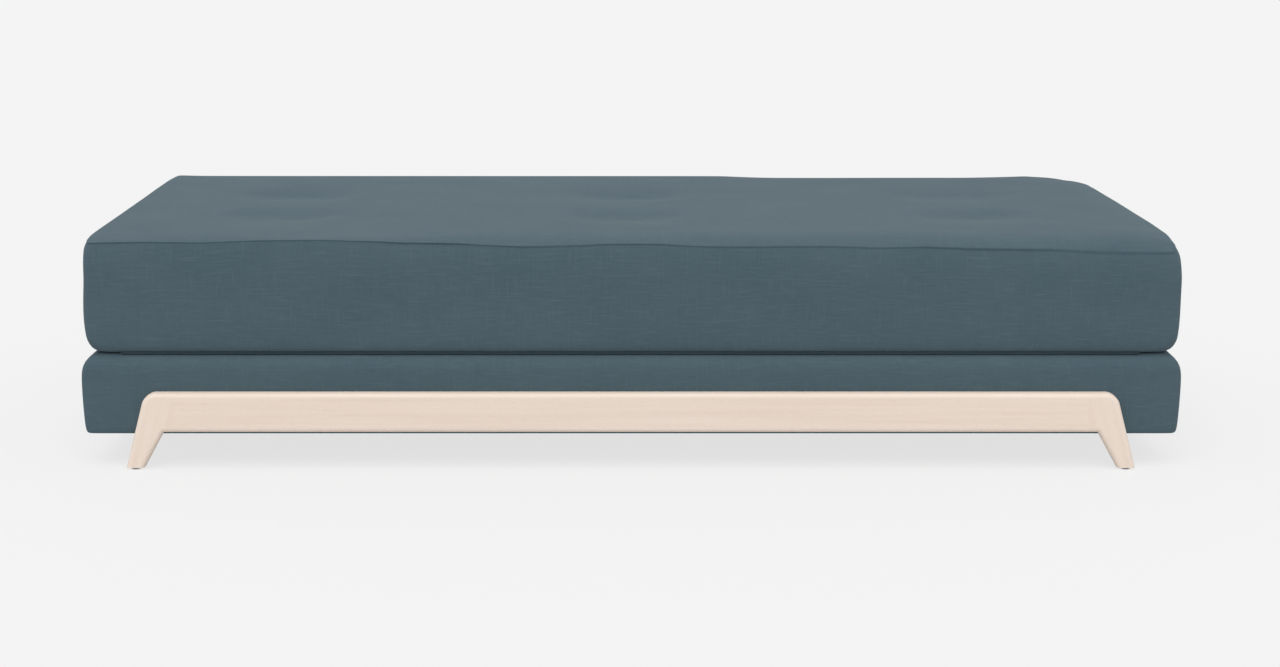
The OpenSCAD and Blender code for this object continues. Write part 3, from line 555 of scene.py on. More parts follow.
def ease(share):
    """A smooth step from 0 to 1."""
    share = np.clip(share, 0, 1)
    return share * share * (3 - 2 * share)


print("Cuts of 100 mm, with one 3 mm from each end:", cuts(0, 100, 25, (3,)))

# %% [markdown]
# ## The bridges
# A rail is a straight bar and a leg is cut from a board: its outer edge leans by 15.3 degrees, it
# tapers to the foot, and the upper corner is rounded to 27 mm. Both have their front edges rounded
# to 8 mm, which catches the light as a pale band. The leg's outline is one face, extruded to the
# thickness of the board, and Bevel rounds its corner and then its edges. The joint between leg and
# rail stays square, so the two close on each other.

# %% Rails and legs
rail_low, rail_high = corners("front_rail")
leg_low, leg_high = corners("front_right_leg")
splay = math.radians(15.3)
foot_width, stub = mm(33), mm(20)
front_round, back_round, corner_round = mm(8), mm(2), mm(27)
front_steps, back_steps, corner_steps = 6, 2, 10


def carry_grain(bm, along):
    """Stores where each point lies along, across and through the piece, as the attribute Grain."""
    along = Vector(along).normalized()
    through = Vector((0, 1, 0))
    across = along.cross(through)
    layer = bm.verts.layers.float_vector.new("Grain")
    for vert in bm.verts:
        vert[layer] = [vert.co.dot(way) for way in (along, across, through)]


def round_edges(bm, chosen, radius, segments):
    """Rounds the chosen edges of a bmesh."""
    bmesh.ops.bevel(bm, geom=chosen, offset=radius, offset_type="OFFSET", segments=segments,
                    affect="EDGES", profile=0.5, material=-1)


def lies_on(edge, axis, place):
    """Whether both ends of an edge have the same given coordinate."""
    return all(abs(vert.co[axis] - place) < hair for vert in edge.verts)


def round_rims(bm, low, high, square):
    """Rounds the front and back edges, but not at the square ends, each an axis and a place."""
    for y, radius, segments in ((low[1], front_round, front_steps),
                                (high[1], back_round, back_steps)):
        rim = [e for e in bm.edges
               if lies_on(e, 1, y) and not any(lies_on(e, *end) for end in square)]
        round_edges(bm, rim, radius, segments)


def bar(low, high):
    """A plain bar between two corners."""
    bm = bmesh.new()
    bmesh.ops.create_cube(bm, size=1)
    bmesh.ops.scale(bm, verts=bm.verts, vec=high - low)
    bmesh.ops.translate(bm, verts=bm.verts, vec=(low + high) / 2)
    return bm


def pull_out(bm, extruded, shift):
    """Moves the new points of an extrusion."""
    new = [item for item in extruded if isinstance(item, bmesh.types.BMVert)]
    bmesh.ops.translate(bm, verts=new, vec=shift)


def rail_shape():
    """The front rail, with its long edges rounded."""
    bm = bar(rail_low, rail_high)
    round_rims(bm, rail_low, rail_high, [(0, rail_low[0]), (0, rail_high[0])])
    return bm


def leg_shape():
    """The front right leg, cut from a board."""
    joint_x, front_y, foot = leg_low
    foot_x, back_y, top = leg_high
    shoulder_x = foot_x - (top - foot) * math.tan(splay)
    outline = [(foot_x - foot_width, foot), (foot_x, foot), (shoulder_x, top), (joint_x, top),
               (joint_x, rail_low[2]), (joint_x + stub, rail_low[2])]
    bm = bmesh.new()
    board = bm.faces.new([bm.verts.new((x, front_y, z)) for x, z in outline])
    pull_out(bm, bmesh.ops.extrude_face_region(bm, geom=[board])["geom"], (0, back_y - front_y, 0))
    bmesh.ops.recalc_face_normals(bm, faces=bm.faces)
    corner = [e for e in bm.edges if lies_on(e, 0, shoulder_x)]
    round_edges(bm, corner, corner_round / math.tan((math.pi / 2 + splay) / 2), corner_steps)
    round_rims(bm, leg_low, leg_high, [(0, joint_x), (2, foot)])
    return bm


def place_bridge_part(shape, along, name, side, row, replaced):
    """Mirrors a shape of the front right to its side and row, and makes it a piece."""
    bm = shape()
    carry_grain(bm, along)
    bmesh.ops.scale(bm, verts=bm.verts, vec=(side, row, 1))
    if side * row < 0:
        bmesh.ops.reverse_faces(bm, faces=bm.faces)
    piece = make_piece(bm, name, beech, "base", [replaced])
    piece.modifiers.new("Even shading", "WEIGHTED_NORMAL").keep_sharp = True


leg_line = (math.sin(splay), 0, -math.cos(splay))
for row, row_name in ((1, "front"), (-1, "back")):
    place_bridge_part(rail_shape, (1, 0, 0), f"beech_{row_name}_rail", 1, row, f"{row_name}_rail")
    for side, side_name in ((-1, "left"), (1, "right")):
        place_bridge_part(leg_shape, leg_line, f"beech_{row_name}_{side_name}_leg", side, row,
                          f"{row_name}_{side_name}_leg")
print("Rail", in_mm(rail_high - rail_low), "mm; leg box", in_mm(leg_high - leg_low), "mm")

# %% [markdown]
# ## The upholstered base
# The base is a wooden box under a foam pad, drawn tight in cloth. Its front and back are flat
# where the rails lie against them, its upper edges are soft, and its padded ends are a little
# fuller in the middle. The cover is made from a block whose sides follow a profile: a list of
# heights, and how far each is in from the fullest line. Small uneven places keep its upper edge
# from looking machined.

# %% Profile of a wall
def arc(count):
    """The angles of count equal steps from 0 to 90 degrees."""
    return np.radians(np.linspace(0, 90, count + 1))


def rounded_foot(radius, count):
    """Heights and insets of a rounding at the foot of a wall."""
    return [(radius * (1 - math.cos(a)), radius * (1 - math.sin(a))) for a in arc(count)]


def wall_profile(points):
    """Length along a wall's profile, its heights and its insets."""
    heights, insets = np.array(points).T
    steps = np.hypot(np.diff(heights), np.diff(insets))
    return np.concatenate([[0], np.cumsum(steps)]), heights, insets


def unevenness(x, y, z, size, depth):
    """A smooth random distance, up to about depth, that changes over about size."""
    return np.array([noise.noise(Vector(p) / size) * depth for p in zip(x, y, z)])


base_half = base_high[:2]
base_tall = base_high[2] - base_low[2]
base_edge, base_foot, base_corner = mm(24), mm(5), mm(11)
base_edge_steps, base_foot_steps = 8, 4
base_wall = wall_profile(
    rounded_foot(base_foot, base_foot_steps)
    + [(base_tall - base_edge + base_edge * math.sin(a), base_edge * (1 - math.cos(a)))
       for a in arc(base_edge_steps)])
# How far the padded ends stand out at these heights above the underside, the right one a bit more
end_heights = [mm(v) for v in (0, 18, 56, 93, 111, 130, 150)]
end_fullness = [mm(v) for v in (4, 6, 7.5, 8, 7.5, 4.5, -1)]
right_end_more = mm(2.5)
print("Wall of the base:", in_mm(base_tall), "mm high,", in_mm(base_wall[0][-1]), "mm of cloth")

# %% Cover of the base
base_near, base_pitch = (mm(2.5), mm(8), mm(20)), mm(34)
base_wall_near, base_wall_pitch = (mm(3), mm(7)), mm(15)
# The cloth is free on the rounded upper edge and at the ends, but not against the rails
edge_free_from, end_free_from = mm(116), mm(940)
edge_run, top_run, end_run, top_rest = mm(20), mm(12), mm(40), mm(3)
wave_size, wave_depth, wave_height_share = 0.16, mm(1.6), 0.6


def base_cover_shape():
    """The base's cover as one closed form."""
    wall_s, wall_h, wall_in = base_wall
    bm = block([*plan_cuts(base_half, base_pitch, base_near),
                cuts(0, wall_s[-1], base_wall_pitch, base_wall_near)])
    lay_cloth(bm)
    x, y, s = points_of(bm)
    height, inset = (np.interp(s, wall_s, wall) for wall in (wall_h, wall_in))
    bulge = np.where(x < 0, 0, right_end_more) + np.interp(height, end_heights, end_fullness)
    new_x, new_y = round_corners(x, y, base_half, base_corner, inset - bulge, inset)
    free = (ease((height - edge_free_from) / edge_run)
            * ease((base_tall - top_rest - height) / top_run))
    free_end = ease((abs(x) - end_free_from) / end_run) * ease((base_tall - height) / edge_run)
    wave = unevenness(x, y, height, wave_size, wave_depth)
    new_x += np.sign(x) * wave * free_end
    new_y += np.sign(y) * wave * free
    reshape(bm, (new_x, new_y, base_low[2] + height + wave_height_share * wave * free))
    return bm


base_piece = make_piece(base_cover_shape(), "upholstered_base", slate_cloth, "base",
                        ["base_cover"], smooth_below=180)
finer(base_piece)
print("Base cover:", len(base_piece.data.polygons), "quads before subdivision")

# %% [markdown]
# ## The mattress cover
# The cover is sewn from a top panel, a border and a bottom panel. Where three panels meet at a
# corner the cloth is pinched and the corner rounder. The top panel puffs up beside its seam, then
# climbs slowly to its peak, and six cords tie it down into wide, shallow tufts. The hand-sewn seam
# wanders: along the front it is high at the left and low at the right.
#
# The form is shaped point by point from these facts. Blender's cloth then swells it a little, held
# at the seams, the tufts and the zip, so the skin gets the tension of a real cover. Each point may
# only move by a few millimetres, because the mattress must clear the rail and the floor when it is
# folded out.

# %% Where the top seam runs
# Each side of the mattress has a list of places in metres and of the seam's height there in
# millimetres, above or below its mean height. The corners agree with each other.
mattress_half = border_high[:2]
seam_height, mattress_low = border_high[2], border_low[2]
seam_front = (
    [-1, -0.89, -0.78, -0.7, -0.57, -0.46, -0.42, -0.32, -0.27, -0.19, -0.09, -0.05, 0.05, 0.11,
     0.16, 0.36, 0.45, 0.53, 0.62, 0.76, 0.87, 0.96, 1],
    [6, 8.3, 6.8, 10.6, 12, 9.4, 7, 5.8, 2.1, -1.5, 1.3, 4, 4.5, 0, -1.5, -0.5, -4, -1.5, -5.5,
     -7.5, -13.5, -14, -13])
seam_back = (
    [-1, -0.95, 0.2, 0.3, 0.72, 0.79, 0.86, 0.91, 0.96, 1],
    [8.5, 6.5, 6.5, -3.5, -4, 1, 6, -1, -16, -25])
seam_left = (
    [-0.437, -0.38, 0.1, 0.2, 0.3, 0.437],
    [6, 12.5, 13, 17, 15, 9.5])
seam_right = (
    [-0.437, -0.41, -0.34, -0.2, -0.1, 0.11, 0.2, 0.37, 0.437],
    [-13, -3, 5.5, 4.5, 2, -4, -8, -15, -25])

# How deep the front seam is drawn in at these places, as a share of the deepest groove: it shows
# most right of the middle, and least at the right end
groove_front = (
    [-1, -0.82, -0.73, -0.5, -0.42, -0.32, -0.28, -0.2, -0.13, -0.05, 0.07, 0.11, 0.155, 0.2,
     0.5, 0.6, 0.72, 0.79, 1],
    [0.55, 0.55, 0.5, 0.5, 0.8, 0.8, 0.6, 0.75, 0.6, 0.6, 0.6, 0.5, 0.7, 0.6, 0.6, 0.85, 0.85,
     0.55, 0.4])


def seam_rise(x, y):
    """How far the seam stands above its mean height, with the four sides blended between them."""
    front, back = (mm(np.interp(x, *side)) for side in (seam_front, seam_back))
    left, right = (mm(np.interp(y, *side)) for side in (seam_left, seam_right))
    across, deep = ((v + half) / (2 * half) for v, half in zip((x, y), mattress_half))
    near, far = ([mm(side[1][end]) for end in (0, -1)] for side in (seam_front, seam_back))
    twice = ((1 - deep) * ((1 - across) * near[0] + across * near[1])
             + deep * ((1 - across) * far[0] + across * far[1]))
    return (1 - deep) * front + deep * back + (1 - across) * left + across * right - twice


print("Front seam from", seam_front[1][0], "to", seam_front[1][-1], "mm off its mean height")

# %% Height of the top panel
peak = mm(419.6)
tufts = [(x, y) for x in (-mm(664.7), 0, mm(664.7)) for y in (-mm(145.7), mm(145.7))]
puff_run, shoulder_run, crown_run = mm(15), mm(60), mm(170)
end_shares, front_shares = (0.45, 0.0, 0.55), (0.25, 0.45, 0.30)
dish_wide, dish_deep, dish_depth = mm(165), mm(120), mm(4.0)
lobe_off, lobe_wide, lobe_deep, lobe_depth = mm(52), mm(78), mm(70), mm(3.4)
tie_radius, tie_depth = mm(22), mm(1.6)
# A dent runs further towards the front than towards the back, and no two creases are quite alike
front_reach, difference = 1.45, 0.35
# The creases lie a little to the left of their cords, and in front of them or behind them, and
# some cords are tied tighter than others
lean = mm(18)
forward = (-mm(8), mm(16), -mm(8), mm(16), -mm(8), mm(38))
tightness = (1.05, 1.1, 1.0, 1.2, 0.75, 0.65)


def climb(distance, shares):
    """How much of its height the top panel has gained at a distance from its seam."""
    puff, shoulder, crown = (
        1 - np.clip(distance / run, 0, 1) for run in (puff_run, shoulder_run, crown_run))
    return (shares[0] * np.sqrt(1 - puff ** 2) + shares[1] * (1 - shoulder ** 2)
            + shares[2] * (1 - crown ** 3))


def dent(off_x, off_y, wide, deep):
    """A soft dent of depth 1, as wide and as deep from front to back as said."""
    reach = np.where(off_y < 0, front_reach * deep, deep)
    return 1 - ease(np.hypot(off_x / wide, off_y / reach))


def top_height(x, y):
    """The height of the top panel before it swells."""
    seam = seam_height + seam_rise(x, y)
    gained = (climb(mattress_half[0] - abs(x), end_shares)
              * climb(mattress_half[1] - abs(y), front_shares))
    height = seam + (peak - seam) * gained
    for number, ((tuft_x, tuft_y), ahead, tight) in enumerate(zip(tufts, forward, tightness)):
        off_x, off_y = x - tuft_x, y - tuft_y
        height = height - tie_depth * dent(off_x, off_y, tie_radius, tie_radius)
        off_y = off_y + ahead
        height = height - tight * dish_depth * dent(off_x + lean, off_y, dish_wide, dish_deep)
        # The cloth creases to the left and right of a tie
        for side in (-1, 1):
            own = 1 + difference * noise.noise((number * 1.7, side * 2.3, 0.5))
            height = height - tight * own * lobe_depth * dent(
                off_x + lean - side * own * lobe_off, off_y, lobe_wide, lobe_deep)
    return height


print("Top panel", in_mm(top_height(0.3, 0.0)), "mm high, at a tuft", in_mm(top_height(*tufts[0])))

# %% Profile of the border
wall_tall = seam_height - mattress_low
mattress_edge, seam_draw = mm(18), mm(5)
# The border starts to draw in towards its seam at this share of its height, at the ends less
full_share, draw_share, end_draw_share = 0.6, 0.4, 0.6
full_height = full_share * wall_tall
mattress_edge_steps, drawn_steps = 6, 8
mattress_wall = wall_profile(
    rounded_foot(mattress_edge, mattress_edge_steps)
    + [(full_height + (wall_tall - full_height) * share, seam_draw * share ** 2)
       for share in np.linspace(0, 1, drawn_steps + 1)])
# The upright corners: their radius halfway up, and how much rounder they are at the bottom
corner_plain, corner_tucked, corner_run = mm(12), mm(14), mm(30)
pinched_from, pinched_share = 0.72, 0.28
# How much rounder each upright corner is at the top seam, where three panels are pinched
front_left_more, back_left_more, front_right_more, back_right_more = mm(8), mm(2), mm(13), mm(38)
# How far the ends stand out at these heights, where the filling presses against the border
left_heights = [mm(v) for v in (0, 22, 60, 95, 140)] + [wall_tall]
left_bulge = [mm(v) for v in (-4, -0.5, 3, 2, -1, 0.5)]
right_heights = [mm(v) for v in (0, 22, 60, 150)] + [wall_tall]
right_bulge = [mm(v) for v in (1, 4, 6.5, 7, 6.5)]
# How far the ends' upper edges are tucked in, and over which height
left_tuck, right_tuck, tuck_run = mm(3.5), mm(5.5), mm(14)


def corner_radius(x, y, height):
    """Radius of the upright corners, rounder at both seams, most of all at the back right."""
    pinched = ease((height / wall_tall - pinched_from) / pinched_share)
    tucked = 1 - ease(height / corner_run)
    rounder = np.where(x < 0, np.where(y > 0, back_left_more, front_left_more),
                       np.where(y > 0, back_right_more, front_right_more))
    return corner_plain + rounder * pinched + corner_tucked * tucked


def end_bulge(x, height):
    """How far an end stands out."""
    left = np.interp(height, left_heights, left_bulge)
    right = np.interp(height, right_heights, right_bulge)
    return np.where(x < 0, left, right)


def border_inset(x, height):
    """How far the border stands in at the ends, and at the front and back."""
    inset = np.interp(height, mattress_wall[1], mattress_wall[2])
    at_seam = ease((height / wall_tall - full_share) / draw_share)
    tucked = np.where(x < 0, left_tuck, right_tuck) * ease(1 - (wall_tall - height) / tuck_run)
    return inset - end_draw_share * seam_draw * at_seam - end_bulge(x, height) + tucked, inset


print("Border", in_mm(wall_tall), "mm high,", in_mm(mattress_wall[0][-1]), "mm along its profile")

# %% Shape of the mattress cover
cover_near, cover_pitch, cover_wall_pitch = (mm(2), mm(5), mm(10), mm(18)), mm(17), mm(15)
# At the front and back the top panel rolls out over its seam, which leaves it only this far in
rolled_inset = mm(2.5)


def mattress_shape():
    """The mattress cover as one closed form, and the block's coordinates of each of its points."""
    length = mattress_wall[0][-1]
    bm = block([*plan_cuts(mattress_half, cover_pitch, cover_near),
                cuts(0, length, cover_wall_pitch, cover_near)])
    lay_cloth(bm)
    x, y, s = flat = points_of(bm)
    height = np.interp(s, *mattress_wall[:2])
    inside = (abs(x) < mattress_half[0] - hair) & (abs(y) < mattress_half[1] - hair)
    on_top = (s > length - hair) & inside
    inset_ends, inset_front = border_inset(x, height)
    inset_front = np.where(on_top, rolled_inset, inset_front)
    new_x, new_y = round_corners(
        x, y, mattress_half, corner_radius(x, y, height), inset_ends, inset_front)
    lifted = mattress_low + height + seam_rise(x, y) * ease(height / wall_tall)
    reshape(bm, (new_x, new_y, np.where(on_top, top_height(x, y), lifted)))
    return bm, flat


print("Cover cut every", in_mm(cover_pitch), "mm and closer at its seams")

# %% Swell a piece with cloth
# Keeps a division by zero away
almost_nothing = 1e-9


def read_points(mesh):
    """The points of a mesh, as rows of x, y and z."""
    places = np.empty(len(mesh.vertices) * 3)
    mesh.vertices.foreach_get("co", places)
    return places.reshape(-1, 3)


def write_points(mesh, places):
    """Moves the points of a mesh to new places."""
    mesh.vertices.foreach_set("co", places.ravel())
    mesh.update()


def swell(piece, held, most, pressure, frames=20):
    """Inflates a piece with Blender's cloth. held points stay, and others move less than most."""
    group = piece.vertex_groups.new(name="Held")
    group.add([int(i) for i in np.flatnonzero(held)], 1.0, "REPLACE")
    cloth = piece.modifiers.new("Swell", "CLOTH")
    facts = cloth.settings
    facts.quality = 5
    facts.mass = 0.3
    facts.tension_stiffness = facts.compression_stiffness = 25
    facts.shear_stiffness = 15
    facts.bending_stiffness = 3
    facts.use_pressure = True
    facts.uniform_pressure_force = pressure
    facts.vertex_group_mass = "Held"
    facts.effector_weights.gravity = 0
    cloth.point_cache.frame_start, cloth.point_cache.frame_end = 1, frames
    scene = bpy.context.scene
    for number in range(1, frames + 1):
        scene.frame_set(number)
    swollen = piece.evaluated_get(bpy.context.evaluated_depsgraph_get())
    after, before = read_points(swollen.data), read_points(piece.data)
    piece.modifiers.remove(cloth)
    piece.vertex_groups.remove(group)
    scene.frame_set(1)
    move = after - before
    far = np.linalg.norm(move, axis=1)
    # The further a point would go, the more it is held back, and it never passes its limit
    kept = far * most / np.maximum(far + most, almost_nothing)
    move *= (kept / np.maximum(far, almost_nothing))[:, None]
    write_points(piece.data, before + move)
    print(piece.name, "swelled by up to", in_mm(far.max()), "mm, kept to", in_mm(kept.max()), "mm")


# %% Sew the seams
beside_seam = [0, mm(2), mm(5), mm(10), mm(18), mm(28)]
# Shares of the groove's depth at these distances from each seam, down the border and along the
# panel. The top panel's edge rolls out over its seam, and the border under it is drawn in.
top_groove = (1, 0.8, 0.6, 0.4, 0.15, 0), (1, -0.45, -0.45, -0.3, -0.1, 0)
bottom_groove = (1, 0.5, -0.08, -0.08, 0, 0), (1, 0.5, -0.08, -0.08, 0, 0)
top_depth, bottom_depth = mm(4), mm(2.5)
# The line of a seam also sinks or rises, by these shares of the groove's depth
top_up, bottom_up, line_run = -0.3, 0.7, mm(3)
rim_run, front_run = mm(30), mm(40)
# Every groove varies a little over short distances, and the other sides' over longer ones too
fine_size, fine_varies = 0.014, 0.12
side_size, side_varies, side_share = 0.12, 0.4, 0.6


def pull_in_seams(piece, flat):
    """Draws the seam lines into grooves, deeper in some places than in others."""
    x, y, s = flat
    length = mattress_wall[0][-1]
    out_x, out_y = (
        np.where(abs(v) > half - rim_run, np.sign(v), 0) for v, half in zip((x, y), mattress_half))
    spread_out = np.maximum(np.hypot(out_x, out_y), 1)
    # Distance from the rim along the top or bottom panel, and from the seam along the border
    from_rim = np.minimum(mattress_half[0] - abs(x), mattress_half[1] - abs(y))
    in_front = y < -mattress_half[1] + front_run
    uneven = 1 + unevenness(x, y, s, fine_size, fine_varies)
    uneven *= np.where(in_front, np.interp(x, *groove_front),
                       side_share + unevenness(x, y, s, side_size, side_varies))
    for seam, full, up, groove in ((length, top_depth, top_up, top_groove),
                                   (0.0, bottom_depth, bottom_up, bottom_groove)):
        on_panel = abs(s - seam) < hair
        away = np.where(on_panel, from_rim, abs(s - seam))
        away = np.where((from_rim > hair) & ~on_panel, 1.0, away)
        down_border, along_panel = (np.interp(away, beside_seam, shares) for shares in groove)
        pull = full * uneven * np.where(on_panel, along_panel, down_border)
        for i in np.flatnonzero(away < beside_seam[-1]):
            way = (-out_x[i] / spread_out[i], -out_y[i] / spread_out[i], up * (away[i] < line_run))
            piece.data.vertices[int(i)].co += Vector(way) * pull[i]
    piece.data.update()


def keep_low(piece, start, room):
    """Lowers whatever stands above the height start, so that nothing passes start + room."""
    places = read_points(piece.data)
    was = places[:, 2].copy()
    lowered = start + room * (1 - np.exp(-np.maximum(was - start, 0) / room))
    places[:, 2] = np.where(was > start, lowered, was)
    write_points(piece.data, places)
    print(piece.name, "was", in_mm(was.max()), "mm high and is", in_mm(places[:, 2].max()), "mm")


print("Grooves of", in_mm(top_depth), "mm at the top seam and", in_mm(bottom_depth), "mm below")

# %% Make the mattress cover
# Folded out, the cover lies upside down, and its highest point is then this far above the floor
floor_clearance, lowered_room = mm(0.3), mm(1.2)
# Where the cloth is held: low on the border, along the zip, and round each tie
held_below, zip_reach, zip_top, tie_hold = mm(20), mm(880), mm(85), mm(14)
# How far the rest may swell: at a tie, further off on the top panel, and on the border
tie_limit, top_limit, top_limit_run, side_limit = mm(0.5), mm(4.5), mm(150), mm(1.8)

shape, flat = mattress_shape()
mattress = make_piece(shape, "mattress_cover", slate_cloth, "mattress",
                      ["mattress_top_panel", "mattress_border", "mattress_bottom_panel"],
                      smooth_below=180)
flat_x, flat_y, flat_s = flat
at_back = flat_y > mattress_half[1] - hair
at_rim = (abs(flat_x) > mattress_half[0] - hair) | (abs(flat_y) > mattress_half[1] - hair)
at_top = flat_s > mattress_wall[0][-1] - hair
sewn = at_rim & at_top | (flat_s < held_below)
zipped = at_back & (abs(flat_x) < zip_reach) & (flat_s < zip_top)
from_tie = np.min([np.hypot(flat_x - x, flat_y - y) for x, y in tufts], axis=0)
held = sewn | zipped | (at_top & (from_tie < tie_hold))
limit = np.where(at_top, tie_limit + top_limit * ease(from_tie / top_limit_run), side_limit)
swell(mattress, held, limit, pressure=4.0)
pull_in_seams(mattress, flat)
keep_low(mattress, base_high[2] + mattress_low - floor_clearance - lowered_room, lowered_room)
finer(mattress)
print("Mattress cover:", len(mattress.data.polygons), "quads,", int(held.sum()), "points held")

# %% [markdown]
# ## Inside the mattress
# Under the cover lie a foam core and two sheets of wadding. Nobody sees them in use, but they are
# pieces of their own. Each is a block between two heights that follows the cover from a few
# millimetres inside.

# %% Core and wadding
layer_near, layer_shares = (mm(10), mm(24)), [0, 0.12, 0.5, 0.88, 1]
core_pitch, wadding_pitch = mm(60), mm(40)
# How far the fillings lie inside the border, and under the top panel
core_inside, wadding_inside = mm(9), mm(16)
core_under, wadding_under = mm(12), mm(4)
# Along the edges of the top they lie lower still
rim_drop, rim_drop_run = mm(8), mm(60)


def mattress_layer(name, low, high, material, replaced, tight, pitch=core_pitch):
    """A filling of the mattress between two heights, each a number or a function of x and y."""
    bm = block([*plan_cuts(mattress_half, pitch, layer_near), layer_shares])
    x, y, share = points_of(bm)
    bottom, top = (
        level(x, y) if callable(level) else np.full(len(x), level) for level in (low, high))
    z = bottom + (top - bottom) * share
    height = z - mattress_low
    insets = [inset + tight for inset in border_inset(x, height)]
    new_x, new_y = round_corners(x, y, mattress_half, corner_radius(x, y, height), *insets)
    reshape(bm, (new_x, new_y, z))
    piece = make_piece(bm, name, material, "mattress", [replaced], smooth_below=50)


core_low, core_high = corners("mattress_foam_core")
under_low, under_high = corners("bottom_wadding")


def below_top(x, y, gap):
    """A level that lies gap below the top panel, and a little lower still along its edges."""
    from_rim = np.minimum(mattress_half[0] - abs(x), mattress_half[1] - abs(y))
    return top_height(x, y) - gap - rim_drop * (1 - ease(from_rim / rim_drop_run))


def core_top(x, y):
    """The top of the foam core."""
    return np.minimum(core_high[2], below_top(x, y, core_under))


def wadding_top(x, y):
    """The top of the wadding over the core."""
    return below_top(x, y, wadding_under)


mattress_layer("foam_core", core_low[2], core_top, foam, "mattress_foam_core",
               core_inside)
mattress_layer("wadding_over_core", core_top, wadding_top, wadding, "top_wadding",
               wadding_inside, wadding_pitch)
mattress_layer("wadding_under_core", under_low[2], under_high[2], wadding,
               "bottom_wadding", wadding_inside)
print("Core", in_mm(core_high[2] - core_low[2]), "mm thick between two sheets of wadding")

# %% [markdown]
# ## Tuft cords and their felts
# A waxed cord runs down from each dimple through the core, and a disc of felt under the core keeps
# the cord from cutting in. The six of each are one piece, as they come from one ball of cord and
# one sheet.

# %% Cords and felts
tie_low, tie_high = corners("tuft_ties")
washer_low, washer_high = corners("tuft_washers")
cord_radius, felt_radius = mm(1.25), mm(16)
# The cords end this far under the bottom of the deepest dimple
cord_sunk = mm(2.5)
cord_top = min(tie_high[2], min(float(top_height(x, y)) for x, y in tufts) - cord_sunk)


def upright_discs(radius, low, high, sides, rounding):
    """An upright disc or rod under every tuft, with rounded ends."""
    bm = bmesh.new()
    for x, y in tufts:
        made = bmesh.ops.create_cone(bm, cap_ends=True, segments=sides, radius1=radius,
                                     radius2=radius, depth=high - low)
        bmesh.ops.translate(bm, verts=made["verts"], vec=(x, y, (low + high) / 2))
    ends = [e for e in bm.edges if lies_on(e, 2, e.verts[0].co.z)]
    round_edges(bm, ends, rounding, segments=2)
    return bm


cords = upright_discs(cord_radius, tie_low[2], cord_top, sides=12, rounding=mm(0.4))
felts = upright_discs(felt_radius, washer_low[2], washer_high[2], sides=32, rounding=mm(0.6))
make_piece(cords, "tuft_cords", ribbon_cotton, "mattress", ["tuft_ties"])
make_piece(felts, "tuft_felts", felt, "mattress", ["tuft_washers"])
print("Cords", in_mm(cord_top - tie_low[2]), "mm long at", len(tufts), "tufts")

# %% [markdown]
# ## Inside and under the base
# A foam pad lies on a sheet of felt, which lies on the slats. Two woven ribbons keep the slats
# apart. The underside is closed by a black cloth, stapled to the boards, that sags very slightly
# between them.

# %% Foam pad, felt and dust cloth
pad_low, pad_high = corners("base_foam")
pad_near, pad_pitch, pad_levels = (mm(12), mm(26)), mm(80), 6
# The pad lies this far inside its cover, at the height of a point and a little above it
pad_inset, pad_above = mm(8), mm(2.5)
sheet_pitch, cloth_sag = mm(60), mm(1.2)


def base_pad_shape():
    """The foam pad, which follows the base's cover from inside."""
    bm = block([*plan_cuts(base_half, pad_pitch, pad_near),
                list(np.linspace(pad_low[2], pad_high[2], pad_levels))])
    x, y, z = points_of(bm)
    inset = np.interp(z - base_low[2] + pad_above, *base_wall[1:]) + pad_inset
    reshape(bm, (*round_corners(x, y, base_half, base_corner, inset, inset), z))
    return bm


def thin_sheet(node, sag):
    """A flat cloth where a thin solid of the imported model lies, sagging by sag in the middle."""
    low, high = corners(node)
    bm = block([cuts(low[0], high[0], sheet_pitch), cuts(low[1], high[1], sheet_pitch),
                [low[2], high[2]]])
    lay_cloth(bm)
    for vert in bm.verts:
        shares = [(vert.co[a] - low[a]) / (high[a] - low[a]) for a in (0, 1)]
        vert.co.z -= sag * math.sin(math.pi * shares[0]) * math.sin(math.pi * shares[1])
    return bm, (high - low)[:2]


pad = make_piece(base_pad_shape(), "deck_foam", foam, "base", ["base_foam"],
                 smooth_below=50)
for node, name, material, slot, sag, rests_on in (
        ("deck_felt", "felt_over_slats", felt, "felt", 0.0, ["bed_slats"]),
        ("dust_cover", "underside_cloth", dust_cloth, "dust_cloth", cloth_sag,
         ["dust_cover_staples"])):
    bm, size = thin_sheet(node, sag)
    sheet = make_piece(bm, name, material, "base", [node])
print("Base pad", in_mm(pad_high[2] - pad_low[2]), "mm thick at its edges")

# %% Two ribbons over the slats
ribbon_low, ribbon_high = corners("slat_ribbons")
ribbon_wide, ribbon_pitch = mm(20), mm(70)


def ribbon_shape(row):
    """The ribbon of the front row, -1, or of the back row, 1."""
    middle = row * (ribbon_high[1] - ribbon_wide / 2)
    bm = block((cuts(ribbon_low[0], ribbon_high[0], ribbon_pitch),
                [middle - ribbon_wide / 2, middle + ribbon_wide / 2],
                [ribbon_low[2], ribbon_high[2]]))
    lay_cloth(bm)
    return bm


for row, name, replaced in ((-1, "front_slat_ribbon", ["slat_ribbons"]),
                            (1, "back_slat_ribbon", [])):
    ribbon = make_piece(ribbon_shape(row), name, ribbon_cotton, "base", replaced)

# %% [markdown]
# ## The cloth hinge
# A strip of dark webbing is sewn to the upper front edge of the base and to the lower front edge
# of the mattress, inside the gap between them. With the mattress up it is folded double in the
# gap, and folded out it bridges it. Its section is drawn as a line of points, extruded along the
# sofa and thickened. The weave is laid out for the unfolded strip.

# %% Webbing hinge
hinge = next(joint for joint in frame["joints"] if joint["name"] == "mattress_fold")
hinge_y = hinge["pos_m"][1]
strip_low, strip_high = corners("hinge_strip_base")
strip_steps, strip_thickness, turn_half = 60, mm(0.8), mm(0.5)
middle_z = (base_high[2] + mattress_low) / 2
